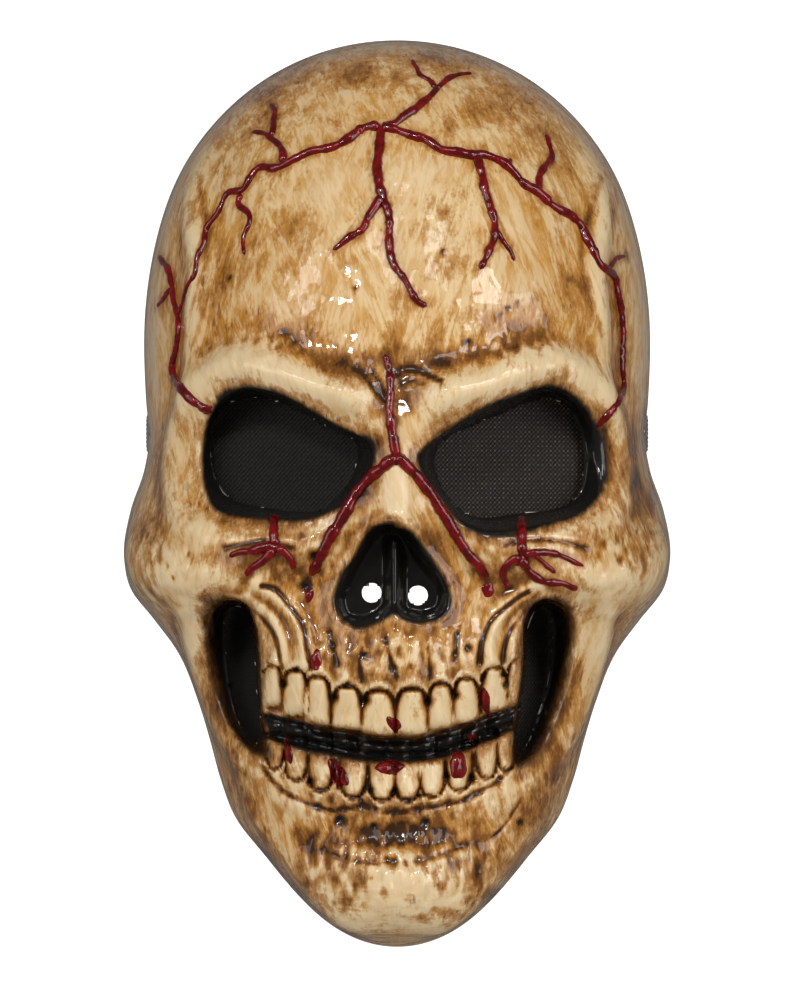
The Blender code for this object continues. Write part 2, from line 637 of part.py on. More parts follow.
def vein(name, row, front, collection):
    """One raised vein: a tapering tube that lies half sunk in the shell's outer face."""
    start_width, end_width, course = row
    path = smooth_path(course, steps=VEIN_STEPS)
    points = []
    for x, z in path:
        hit = front.ray_cast(Vector((x, CUTTER_FRONT_Y, z)), Vector((0, 1, 0)))
        place = hit[0] - hit[1] * VEIN_SINK * (1 if hit[1].y < 0 else -1)
        points.append(from_view(np.array(place)))
    curve = bpy.data.curves.new(name, "CURVE")
    curve.dimensions = "3D"
    curve.bevel_depth = start_width / 2 * MM
    curve.bevel_resolution = VEIN_SIDES - 2
    curve.use_fill_caps = True
    spline = curve.splines.new("POLY")
    spline.points.add(len(points) - 1)
    shares = np.linspace(1, end_width / start_width, len(points))
    for point, place, share in zip(spline.points, points, shares):
        point.co = (*(place * MM), 1)
        point.radius = share
    return curve_mesh_object(name, curve, collection)


def material(name, color, roughness, metallic=0.0, coat=0.0):
    """A Principled material."""
    made = bpy.data.materials.new(name)
    made.use_nodes = True
    shader = made.node_tree.nodes["Principled BSDF"]
    shader.inputs["Base Color"].default_value = (*color, 1)
    shader.inputs["Roughness"].default_value = roughness
    shader.inputs["Metallic"].default_value = metallic
    shader.inputs["Coat Weight"].default_value = coat
    return made


def dress(made, paint):
    """Gives an object its material and smooth shading."""
    made.data.materials.clear()
    made.data.materials.append(paint)
    for face in made.data.polygons:
        face.use_smooth = True


def side_x(points, y):
    """The mean x of a grid's right side, level with the strap, at a given y."""
    level = np.abs(points[..., 2]) < STRAP_WIDTH / 2
    near = level & (np.abs(points[..., 1] - y) < RIVET_SEAT) & (points[..., 0] > 0)
    return float(points[..., 0][near].mean())


def build():
    """Makes every piece of the mask and its cutters."""
    for old in list(bpy.data.objects):
        bpy.data.objects.remove(old)
    pieces = bpy.data.collections.new("skull_mask")
    cutters = bpy.data.collections.new("cutters")
    bpy.context.scene.collection.children.link(pieces)
    bpy.context.scene.collection.children.link(cutters)
    bone = material("bone_plastic", (0.60, 0.47, 0.28), 0.25, coat=0.6)
    black_mesh = material("black_mesh", (0.012, 0.011, 0.010), 0.85)
    elastic = material("black_elastic", (0.015, 0.014, 0.014), 0.8)
    steel = material("rivet_steel", (0.42, 0.41, 0.40), 0.35, metallic=1.0)

    seen = skull_grid(GRID_COLUMNS, GRID_ROWS)
    outer = from_view(seen)
    inner = from_view(inner_grid(GRID_COLUMNS, GRID_ROWS))
    shell = closed_shell("mask_shell", outer, inner, pieces)
    triangles = sum(len(face.vertices) - 2 for face in shell.data.polygons)
    simpler = shell.modifiers.new("Simplify", "DECIMATE")
    simpler.ratio = SHELL_TRIANGLES / triangles

    for row in RECESSES:
        name, _, hole, floor, slope = row
        edge = real_outline(hole, lambda x: floor + slope * np.abs(x))
        cutter = prism(name + "_hole", edge[:, (0, 2)], CUTTER_FRONT_Y, CUTTER_BACK_Y, cutters)
        cut(shell, cutter)
        dress(mesh_panel(name, row, inner, pieces), black_mesh)
    for k, (x, z) in enumerate(AIR_HOLES):
        turn = np.linspace(0, 2 * math.pi, ROUND_SIDES, endpoint=False)
        circle = np.stack([x + AIR_HOLE_RADIUS * np.cos(turn), z + AIR_HOLE_RADIUS * np.sin(turn)], axis=1)
        cut(shell, prism("air_hole_%d" % (k + 1), circle, CUTTER_FRONT_Y, CUTTER_BACK_Y, cutters))

    strap = strap_object("head_strap", pieces)
    (start_x, start_y), (next_x, next_y) = STRAP_COURSE[:2]
    strap_x = float(np.interp(RIVET_Y, (start_y, next_y), (start_x, next_x)))
    outer_x = side_x(outer, RIVET_Y)
    for name, side in (("strap_rivet_left", -1), ("strap_rivet_right", 1)):
        hole = cylinder_x(name + "_hole", side * strap_x, RIVET_Y, RIVET_HOLE_RADIUS, cutters)
        cut(shell, hole)
        cut(strap, hole)
        dress(rivet(name, side, outer_x, strap_x, pieces), steel)
    dress(shell, bone)
    dress(strap, elastic)

    front = BVHTree.FromPolygons([Vector(p) for p in seen.reshape(-1, 3)], grid_faces(seen).tolist())
    for k, row in enumerate(VEINS):
        tube = vein("vein_%d" % (k + 1), row, front, cutters)
        cut(shell, tube, "UNION")


build()
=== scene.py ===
"""Skull mask, dressed: a finely moulded shell, its paint and wash, veins, knitted mesh and a strap."""

import math

import bpy
import numpy as np
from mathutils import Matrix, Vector, noise
from mathutils.bvhtree import BVHTree
from mathutils.kdtree import KDTree


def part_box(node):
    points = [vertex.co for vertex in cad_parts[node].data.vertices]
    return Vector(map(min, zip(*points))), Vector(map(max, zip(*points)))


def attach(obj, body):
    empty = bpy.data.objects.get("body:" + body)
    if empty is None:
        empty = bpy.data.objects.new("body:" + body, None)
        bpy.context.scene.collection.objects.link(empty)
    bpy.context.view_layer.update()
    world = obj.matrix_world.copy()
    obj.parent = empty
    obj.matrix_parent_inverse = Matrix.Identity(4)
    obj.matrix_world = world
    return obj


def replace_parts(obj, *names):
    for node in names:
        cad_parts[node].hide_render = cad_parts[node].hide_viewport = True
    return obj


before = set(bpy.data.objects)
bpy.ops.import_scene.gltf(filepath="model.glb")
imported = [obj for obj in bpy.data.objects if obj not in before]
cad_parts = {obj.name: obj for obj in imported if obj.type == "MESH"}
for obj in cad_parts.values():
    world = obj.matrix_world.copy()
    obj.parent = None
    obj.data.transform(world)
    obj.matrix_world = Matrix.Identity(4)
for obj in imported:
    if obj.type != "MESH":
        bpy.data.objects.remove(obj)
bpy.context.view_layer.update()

MM = 0.001

# Driving sizes of the shell, in millimetres like all the sizes down to the stage's
CROWN_Z = 117.0
CHIN_Z = -155.0
WALL = 1.8
SIDE_ROUNDNESS = 2.4
# Spacing of the grid's lines: looser in the middle, and moved down to the teeth
COLUMN_EASE = 0.28
ROW_SHIFT = 0.16
ROW_DROP = 0.07
# The skull's forms fade out towards the side rims: the bulge where they start and how soon they are full
FORM_START = 0.12
FORM_RISE = 0.4

# The front view that the outlines below are drawn in: its distance and the plane where sizes are true
VIEW_DISTANCE = 1800.0
VIEW_PLANE_Y = -60.0
VIEW_Z = -20.5

# One row for each level of the shell: the half width of the oval that runs through it, the reach of the
# dome in front of its rim, and how far the rim stands in front of the origin's plane.
# Columns: z, oval, reach, rim
LEVELS = (
    (117, 100.0, 100, 10),
    (99, 96.5, 101, 6),
    (81, 93.0, 103, 3),
    (57, 87.2, 104, 0),
    (33, 82.0, 105, 0),
    (9, 77.0, 105, 0),
    (-3, 75.0, 104, 0),
    (-12, 76.0, 103, 0),
    (-24, 80.0, 102, 0),
    (-39, 82.8, 101, 0),
    (-48, 81.6, 100, 1),
    (-57, 75.8, 99, 3),
    (-66, 70.5, 97, 8),
    (-81, 67.2, 93, 14),
    (-93, 66.9, 89, 20),
    (-105, 68.2, 86, 27),
    (-117, 69.2, 87, 34),
    (-129, 65.5, 92, 41),
    (-141, 64.0, 98, 46),
    (-155, 65.0, 100, 50),
)

# Openings. Each socket or recess sinks between two outlines in the front view: its rim and the edge of its
# hole. The depth of the hole's edge is floor + slope * |x|.
LEFT_SOCKET = (
    (-59.5, -11), (-58, 1), (-54.5, 7), (-47, 12.5), (-38.5, 11.5), (-29.5, 8), (-18, 1.5), (-8.5, -3.5),
    (-6.5, -9), (-9.5, -16.5), (-18, -23.5), (-27, -27), (-47, -26.5), (-56.5, -22),
)
LEFT_EYE_HOLE = (
    (-55.5, -10), (-55.5, 0), (-53.5, 5.5), (-49, 8.5), (-40, 9.5), (-32, 7), (-24, 2.5), (-13, -3),
    (-11.8, -8), (-14, -15), (-19, -21), (-26, -24.5), (-46.5, -22), (-53, -17),
)
RIGHT_SOCKET = (
    (6, -9), (9, -3.5), (18, 2.5), (28, 8.5), (36.5, 12), (45, 13.5), (51, 11.5), (57, 6), (61.5, -3),
    (62.5, -12), (60, -22), (52, -26.5), (38, -30), (26, -30.5), (17, -26), (10, -17),
)
RIGHT_EYE_HOLE = (
    (11.5, -11), (13.5, -3.5), (22, 1), (30, 4.5), (37, 7.5), (44, 9.8), (49, 8.5), (53, 4.5), (55.5, -3),
    (56, -12), (54, -20), (48, -23.5), (37, -25), (24, -26), (15.5, -20.5),
)
LEFT_RECESS = (
    (-58.5, -60), (-57, -53), (-51, -49.8), (-45, -52), (-42, -58), (-40.8, -68), (-40.3, -81),
    (-39, -91.5), (-38.5, -97.5), (-41.5, -98.5), (-46, -95), (-50, -90), (-53.5, -83), (-56.5, -75),
    (-58.3, -67),
)
LEFT_CHEEK_HOLE = (
    (-51.8, -58), (-50, -53.2), (-46, -53.5), (-43.8, -59), (-42.6, -68), (-42, -79), (-41, -89),
    (-42.5, -94), (-46, -91), (-48.8, -84), (-50.5, -75), (-51.5, -66),
)
RIGHT_RECESS = (
    (37.5, -58), (40, -52.5), (45, -50), (51, -51.5), (54, -57), (54, -66), (52.5, -74), (50, -82),
    (47, -89), (43.5, -95.4), (39, -100), (35.2, -101), (34.5, -92), (36.2, -78), (37.3, -67),
)
RIGHT_CHEEK_HOLE = (
    (39, -60), (41.5, -54), (45, -53.2), (47, -58), (46.5, -67), (45.5, -75), (43, -83), (40.5, -90.5),
    (37.8, -96.5), (36, -95), (36.3, -88), (38, -78), (38.8, -69),
)
# Columns: name of the mesh behind it, rim outline, hole outline, depth at the middle line, slope
RECESSES = (
    ("eye_mesh_left", LEFT_SOCKET, LEFT_EYE_HOLE, -93.0, 0.42),
    ("eye_mesh_right", RIGHT_SOCKET, RIGHT_EYE_HOLE, -93.0, 0.42),
    ("side_mesh_left", LEFT_RECESS, LEFT_CHEEK_HOLE, -108.0, 1.0),
    ("side_mesh_right", RIGHT_RECESS, RIGHT_CHEEK_HOLE, -106.0, 1.0),
)

# Nose: a cavity with a wall down its middle and a round air hole in each half
NOSE_RIM = (
    (-3.5, -27.5), (3, -29), (9, -37.5), (14, -44), (16, -50), (14, -55.5), (8, -58), (1.5, -56.8),
    (-1.3, -55), (-5, -57.8), (-11, -59.5), (-17, -57.5), (-19.3, -51), (-16.5, -43.5), (-12.5, -35.5),
    (-8, -29),
)
NOSE_FLOOR_Y = -93.0
NOSE_WALL_WIDTH = 4.0
NOSE_LIP_HEIGHT = 1.5
NOSE_LIP_WIDTH = 2.5
DIVIDER_X = -0.8
DIVIDER_HALF_WIDTH = 2.0
DIVIDER_HEIGHT = 7.0
DIVIDER_TOP_Z = -28.0
DIVIDER_FADE = 6.0
AIR_HOLES = ((-7.6, -48.8), (6.3, -49.6))
AIR_HOLE_RADIUS = 3.0

# Mesh panels, strap and rivets
PANEL_THICKNESS = 1.0
PANEL_OVERLAP = 3.5
STRAP_WIDTH = 12.0
STRAP_THICKNESS = 1.5
# The strap's course, seen from above, from its right end to the middle of the back of the head: x, y
STRAP_COURSE = (
    (72.1, -19), (73.0, -9), (73.9, 0), (76.4, 12), (78.3, 28), (77.8, 46), (73.8, 66), (63.5, 86),
    (46.5, 100), (25.0, 107.5), (0.0, 110),
)
RIVET_Y = -13.0
RIVET_RADIUS = 1.2
RIVET_HEAD_THICKNESS = 1.0
OUTLINE_STEPS = 2

# Teeth. Columns: middle x, half width, gum z, tip z
UPPER_TEETH = (
    (-37.5, 2.7, -71.4, -82.8),
    (-30.5, 3.4, -72.6, -85.8),
    (-23.9, 3.4, -74.4, -89.7),
    (-15.0, 3.9, -77.4, -90.3),
    (-5.6, 4.4, -78.6, -92.4),
    (4.5, 4.2, -78.0, -92.4),
    (13.2, 3.4, -76.5, -90.0),
    (20.7, 3.4, -75.0, -88.5),
    (29.4, 3.4, -71.7, -84.9),
    (35.7, 2.3, -69.9, -82.8),
)
LOWER_TEETH = (
    (-36.5, 2.3, -100.8, -92.4),
    (-30.2, 3.0, -104.4, -93.6),
    (-22.8, 3.2, -107.4, -95.4),
    (-13.0, 3.4, -109.5, -97.2),
    (-4.4, 3.4, -110.4, -98.4),
    (3.2, 3.4, -110.4, -98.4),
    (10.5, 3.3, -109.2, -98.1),
    (18.5, 3.2, -107.4, -96.0),
    (26.9, 2.7, -103.8, -91.8),
    (32.7, 2.4, -101.4, -89.4),
)
TOOTH_HEIGHT = 5.0
TOOTH_BED = 2.6
TOOTH_NECK = 0.55
TOOTH_SPREAD = 1.16
# Shares of a tooth's length: where it is at its widest, how soon it rises from the gum, where its tip starts
TOOTH_WIDEST = 0.62
TOOTH_START = 0.16
TOOTH_TIP = 0.72
# The gum's arches and its lip, the bed that the teeth stand in, and the swelling of each root
ARCH_RISE = 1.3
ARCH_DROP = 2.9
ARCH_POINT = 1.7
GUM_LIP = 0.9
GUM_LIP_MIDDLE = 0.9
GUM_LIP_WIDTH = 0.8
GUM_EDGE = 1.5
BED_EDGE = 0.9
BED_MARGIN = 5.0
BED_FADE = 3.0
ROOT_HEIGHT = 2.1
ROOT_WIDTH = 0.75
ROOT_LENGTH = 14.0
MOUTH_GAP = (
    (-41, -88.5), (-29.5, -91.0), (-17.5, -93.2), (-5.5, -95.4), (6.5, -95.4), (18.5, -92.6),
    (30.5, -88.2), (37, -86),
)
MOUTH_HALF_HEIGHT = 3.4
MOUTH_DEPTH = 8.0
MOUTH_EDGE = 2.0

# Swellings and hollows that both halves of the skull share. Columns: x, z, radius x, radius z, height
SWELLINGS = (
    (26, 52, 26, 24, 2.0),
    (13, 13, 9, 6, 3.2),
    (0, 20, 6, 9, -1.6),
    (72, 24, 9, 30, -3.0),
    (60, -38, 17, 10, 5.5),
    (30, -44, 10, 7, -2.0),
    (0, -70, 30, 14, 4.0),
    (0, -108, 27, 8, 2.0),
    (0, -122, 26, 6, -2.0),
    (0, -139, 20, 12, 6.0),
    (12, -146, 12, 9, 2.0),
    (57, -108, 14, 12, -2.0),
)

# Ridges and grooves that both halves share. Columns: x, z, half width, height
BROW_RING = (
    (7, 3, 5, 2.5), (14, 9, 6, 5.0), (24, 13, 6, 6.0), (36, 17.5, 6, 6.5), (48, 18.5, 6, 6.0),
    (58, 12, 6, 5.0), (64, 2, 5, 4.5), (66, -12, 5, 4.0), (63, -25, 5, 3.5), (52, -31, 5, 3.5),
    (36, -34, 5, 3.0), (20, -31, 5, 2.5), (10, -22, 4, 1.5),
)
TEMPLE_LINE = (
    (62, 12, 4, 1.0), (61, 30, 4, 2.4), (59, 50, 4, 2.6), (61, 66, 4, 2.2), (58, 82, 5, 1.0),
)
CHEEK_ARCH = (
    (24, -38, 6, 2.0), (38, -41, 7, 4.0), (52, -44, 7, 5.0), (66, -44, 8, 4.5), (78, -38, 9, 2.5),
)
JAW_BRANCH = (
    (61, -54, 4, 2.5), (59.5, -66, 4, 3.0), (56.5, -80, 4, 3.0), (50, -93, 4.5, 3.0),
    (41, -104, 5, 2.5), (28, -114, 6, 1.5),
)
JAW_EDGE = (
    (50, -104, 5, 1.0), (40, -117, 5, 2.5), (28, -131, 6, 3.0), (14, -147, 7, 2.0),
)
FACE_FOLD = (
    (42, -47, 2.5, 2.5), (33, -53, 2.6, 3.2), (28.5, -61, 2.6, 3.2), (27.5, -70, 2.4, 2.5),
)
SECOND_FOLD = (
    (45, -50.5, 2.2, 2.0), (38.5, -55.5, 2.2, 3.0), (35, -62, 2.2, 3.0), (34.5, -69, 2.2, 2.5),
)
RIDGES = (BROW_RING, TEMPLE_LINE, CHEEK_ARCH, JAW_BRANCH, JAW_EDGE)
FOLDS = (FACE_FOLD, SECOND_FOLD)
NOSE_BRIDGE = (
    (0, 9, 5, 0.5), (0, 0, 5.5, 2.5), (0, -10, 6, 5.5), (0, -20, 7, 8.0), (0, -27, 8, 9.0),
)

# The photograph's frame: millimetres to a pixel, and the pixel of the middle line and of the strap's level
MM_PER_PIXEL = 0.3
MIDDLE_PIXEL_X = 397.0
STRAP_PIXEL_Y = 430.0
IMAGE_HEIGHT = 997

# The grids of the shell and of its lining, and how near a hole's edge their points are moved onto it
SHELL_COLUMNS = 280
SHELL_ROWS = 344
INNER_COLUMNS = 110
INNER_ROWS = 146
EDGE_SNAP = 0.35
INNER_SNAP = 0.9
SNAP_MARGIN = 3
# Worn teeth just showing inside the mouth
BACK_TOOTH_PITCH = 7.6
BACK_TOOTH_HEIGHT = 2.6
BACK_TOOTH_MARGIN = 0.8
BACK_TOOTH_FADE = 1.4
# Unevenness of the moulding, which fades out at the rims. Columns: size, place in the noise, height
WOBBLES = ((13.0, 3.1, 0.5), (5.0, 8.7, 0.16))
WOBBLE_START = 0.15
WOBBLE_RISE = 0.3

# Furrows pressed into the bone, by pixel. Each row: half width and depth in millimetres, then its course
FURROWS = (
    (1.2, 1.0, ((357, 369), (366, 377), (374, 388), (384, 398))),
    (1.0, 0.7, ((372, 372), (378, 380), (384, 392))),
    (1.1, 1.0, ((399, 372), (406, 368), (418, 370), (430, 376), (441, 381))),
    (0.9, 0.6, ((402, 384), (412, 380), (424, 384))),
    (1.1, 0.8, ((226, 548), (246, 544), (268, 541), (292, 548))),
    (1.1, 0.8, ((505, 545), (530, 540), (560, 541), (585, 548))),
    (1.0, 1.2, ((262, 586), (276, 590), (291, 608), (303, 626), (307, 651), (312, 668))),
    (0.9, 1.1, ((240, 604), (254, 611), (269, 626), (277, 642), (281, 668))),
    (1.0, 1.2, ((528, 592), (515, 600), (493, 619), (483, 641), (480, 662))),
    (0.9, 1.1, ((534, 606), (522, 616), (509, 634), (504, 651), (502, 664))),
    (1.0, 1.0, ((330, 632), (333, 648), (338, 664))),
    (0.9, 0.9, ((457, 634), (457, 646), (455, 660))),
    (0.8, 0.8, ((386, 640), (391, 660), (397, 678))),
    (0.8, 0.7, ((362, 648), (360, 664), (362, 680))),
    (0.8, 0.7, ((428, 648), (430, 664), (430, 678))),
    (1.0, 0.9, ((262, 764), (276, 784), (296, 798), (330, 810), (362, 806), (395, 812), (428, 806),
        (462, 800), (492, 784), (512, 768))),
    (1.2, 0.6, ((322, 850), (352, 860), (392, 864), (432, 858), (462, 846))),
    (0.7, 0.5, ((232, 770), (236, 786), (244, 800))),
    (0.7, 0.5, ((250, 800), (258, 818), (268, 832))),
    (0.8, 0.6, ((520, 800), (508, 820), (494, 836))),
    (1.5, 0.45, ((199, 175), (204, 206), (206, 246), (202, 272), (196, 296), (188, 318))),
    (1.5, 0.45, ((603, 175), (593, 206), (583, 233), (582, 262), (590, 298), (603, 334))),
)
# Small pits, by pixel. Columns: x, y, radius and depth in millimetres
PITS = (
    (315, 555, 1.5, 1.3), (306, 586, 1.6, 1.3), (333, 646, 1.1, 1.1), (335, 697, 1.2, 1.2),
    (366, 700, 1.3, 1.2), (284, 684, 1.2, 1.2), (310, 781, 1.3, 1.3), (340, 819, 1.5, 1.3),
    (374, 826, 1.2, 1.1), (426, 822, 1.3, 1.2), (467, 648, 1.2, 1.0), (455, 654, 1.0, 1.0),
    (503, 674, 1.1, 1.0), (297, 668, 1.0, 1.0), (347, 683, 1.0, 1.0), (393, 668, 0.9, 0.9),
    (428, 701, 1.3, 1.2), (456, 695, 1.2, 1.1), (318, 806, 1.1, 1.0), (361, 800, 1.1, 1.0),
    (421, 795, 1.2, 1.1), (371, 790, 1.1, 1.0), (394, 793, 1.1, 1.0), (447, 776, 1.2, 1.1),
    (472, 778, 1.2, 1.1), (505, 684, 1.1, 1.0), (364, 655, 1.0, 0.8), (520, 822, 1.3, 0.9),
    (508, 308, 1.0, 0.5), (517, 303, 0.8, 0.4), (501, 313, 0.7, 0.4), (356, 288, 0.8, 0.4),
    (443, 252, 0.8, 0.4), (230, 278, 0.8, 0.4), (468, 342, 0.9, 0.5),
)
# Black paint, by pixel
BLACK_EYE_LEFT = (
    (203, 456), (206, 430), (222, 393), (247, 386), (272, 389), (298, 401), (329, 420), (355, 433),
    (375, 441), (375, 462), (365, 494), (342, 507), (317, 517), (298, 521), (266, 519), (228, 515),
    (213, 507), (205, 488),
)
BLACK_EYE_RIGHT = (
    (417, 462), (418, 454), (437, 437), (465, 418), (492, 403), (519, 394), (547, 385), (567, 390),
    (585, 405), (594, 421), (601, 435), (607, 455), (605, 482), (594, 503), (574, 517), (547, 525),
    (526, 533), (499, 537), (476, 533), (458, 521), (437, 493), (424, 478),
)
BLACK_NOSE = (
    (389, 522), (369, 531), (355, 556), (343, 571), (334, 594), (337, 612), (351, 626), (366, 627),
    (382, 620), (394, 615), (406, 621), (421, 623), (438, 620), (450, 608), (450, 592), (442, 573),
    (428, 551), (412, 532), (397, 527),
)
BLACK_SIDE_LEFT = (
    (204, 606), (219, 598), (254, 619), (262, 665), (262, 711), (271, 755), (262, 759), (235, 736),
    (212, 686),
)
BLACK_SIDE_RIGHT = (
    (525, 605), (549, 597), (568, 602), (571, 627), (571, 664), (569, 682), (562, 707), (552, 732),
    (537, 756), (518, 769), (514, 730), (522, 673), (523, 627),
)
BLACK_MOUTH = (
    (262, 714), (280, 716), (300, 722), (318, 732), (345, 736), (362, 740), (380, 741), (396, 740),
    (413, 742), (430, 740), (445, 736), (462, 730), (482, 724), (500, 716), (514, 710), (514, 722),
    (500, 734), (480, 744), (452, 754), (424, 760), (396, 762), (362, 761), (334, 756), (308, 752),
    (290, 746), (272, 738),
)
BLACK_AREAS = (BLACK_EYE_LEFT, BLACK_EYE_RIGHT, BLACK_NOSE, BLACK_SIDE_LEFT, BLACK_SIDE_RIGHT, BLACK_MOUTH)

# Veins, by pixel. Each row: start width and end width in millimetres, then its course
VEINS = (
    (3.0, 1.3, ((381, 126), (360, 129), (349, 139), (333, 147), (310, 152), (293, 160), (277, 168),
        (261, 167), (250, 178), (243, 190), (228, 193), (218, 213), (207, 227), (204, 243), (197, 259),
        (195, 275), (188, 286), (183, 302), (179, 314))),
    (2.2, 1.4, ((282, 163), (283, 151), (271, 137), (261, 132), (252, 132))),
    (2.0, 1.2, ((272, 137), (274, 121), (275, 112), (271, 103))),
    (2.2, 1.1, ((242, 194), (238, 204), (249, 213), (249, 224), (243, 240), (245, 255))),
    (3.0, 1.9, ((381, 126), (380, 146), (377, 169), (382, 194), (389, 217), (389, 240), (392, 261),
        (404, 279), (417, 300), (427, 306))),
    (2.6, 1.6, ((382, 196), (369, 215), (362, 229), (346, 240), (333, 250))),
    (2.8, 1.8, ((381, 126), (394, 124), (410, 112), (429, 98), (438, 87))),
    (1.9, 1.1, ((436, 89), (431, 81), (421, 76), (415, 66), (412, 59))),
    (1.9, 1.1, ((436, 89), (449, 78), (459, 75), (472, 73))),
    (2.9, 2.4, ((381, 126), (408, 134), (427, 140), (439, 149), (456, 152), (470, 155), (486, 155),
        (500, 161), (511, 169), (523, 183), (537, 191), (551, 204), (567, 214), (580, 224), (586, 238),
        (594, 252), (601, 266), (613, 275), (617, 295), (621, 318), (622, 341), (621, 367), (623, 385),
        (617, 402), (606, 416), (597, 427))),
    (1.6, 1.1, ((508, 167), (511, 158))),
    (1.9, 1.1, ((607, 272), (615, 259), (626, 256))),
    (2.3, 1.4, ((538, 192), (540, 176), (544, 167), (552, 158), (549, 144), (546, 134))),
    (2.8, 2.0, ((475, 154), (482, 174), (485, 190), (491, 208), (495, 227), (493, 243), (485, 259),
        (480, 269))),
    (1.9, 1.2, ((495, 228), (502, 240), (511, 252), (514, 261))),
    (2.2, 2.6, ((159, 256), (168, 268), (173, 286), (175, 302), (179, 318), (180, 334), (177, 350),
        (173, 365), (176, 379), (182, 389), (191, 399), (200, 405), (210, 411))),
    (1.6, 1.1, ((172, 287), (164, 298), (157, 307))),
    (1.9, 3.3, ((385, 354), (390, 373), (390, 402), (391, 422), (394, 442), (397, 457))),
    (3.4, 3.0, ((398, 455), (383, 467), (371, 477), (357, 493), (341, 520), (328, 541), (322, 554),
        (316, 566), (311, 575))),
    (2.0, 2.0, ((310, 590), (307, 600))),
    (3.4, 2.9, ((396, 455), (421, 481), (437, 504), (449, 522), (463, 546), (478, 565), (487, 579))),
    (2.8, 2.8, ((274, 516), (274, 531), (275, 547))),
    (2.7, 1.7, ((275, 545), (262, 548), (250, 550), (235, 553), (229, 557))),
    (2.9, 2.0, ((274, 548), (264, 560), (252, 568), (246, 576))),
    (2.8, 1.7, ((276, 547), (286, 553), (291, 560), (294, 570))),
    (2.6, 2.8, ((521, 518), (522, 536), (522, 556))),
    (2.9, 1.6, ((521, 556), (511, 561), (504, 568), (503, 577), (509, 589))),
    (2.8, 1.6, ((521, 557), (528, 570), (541, 580), (562, 583), (578, 589))),
    (2.0, 1.1, ((532, 553), (543, 562), (556, 573))),
    (2.4, 1.1, ((522, 555), (540, 552), (560, 556), (584, 566))),
)
# Drops and smears of blood, by pixel. Columns: x, y, half width and half height in pixels, lean in degrees
DROPS = (
    (488, 590, 7, 8, 0), (316, 660, 7, 11, 10), (394, 724, 6, 12, 30), (485, 701, 6, 16, 8),
    (288, 751, 5, 14, 12), (338, 774, 9, 17, 30), (389, 767, 17, 8, 5), (458, 764, 9, 16, -6),
    (472, 738, 5, 7, 0), (206, 410, 8, 6, -20), (316, 566, 6, 9, -20), (309, 596, 5, 8, -10),
    (396, 458, 11, 7, 0), (521, 560, 9, 7, 0), (275, 547, 7, 7, 0),
)

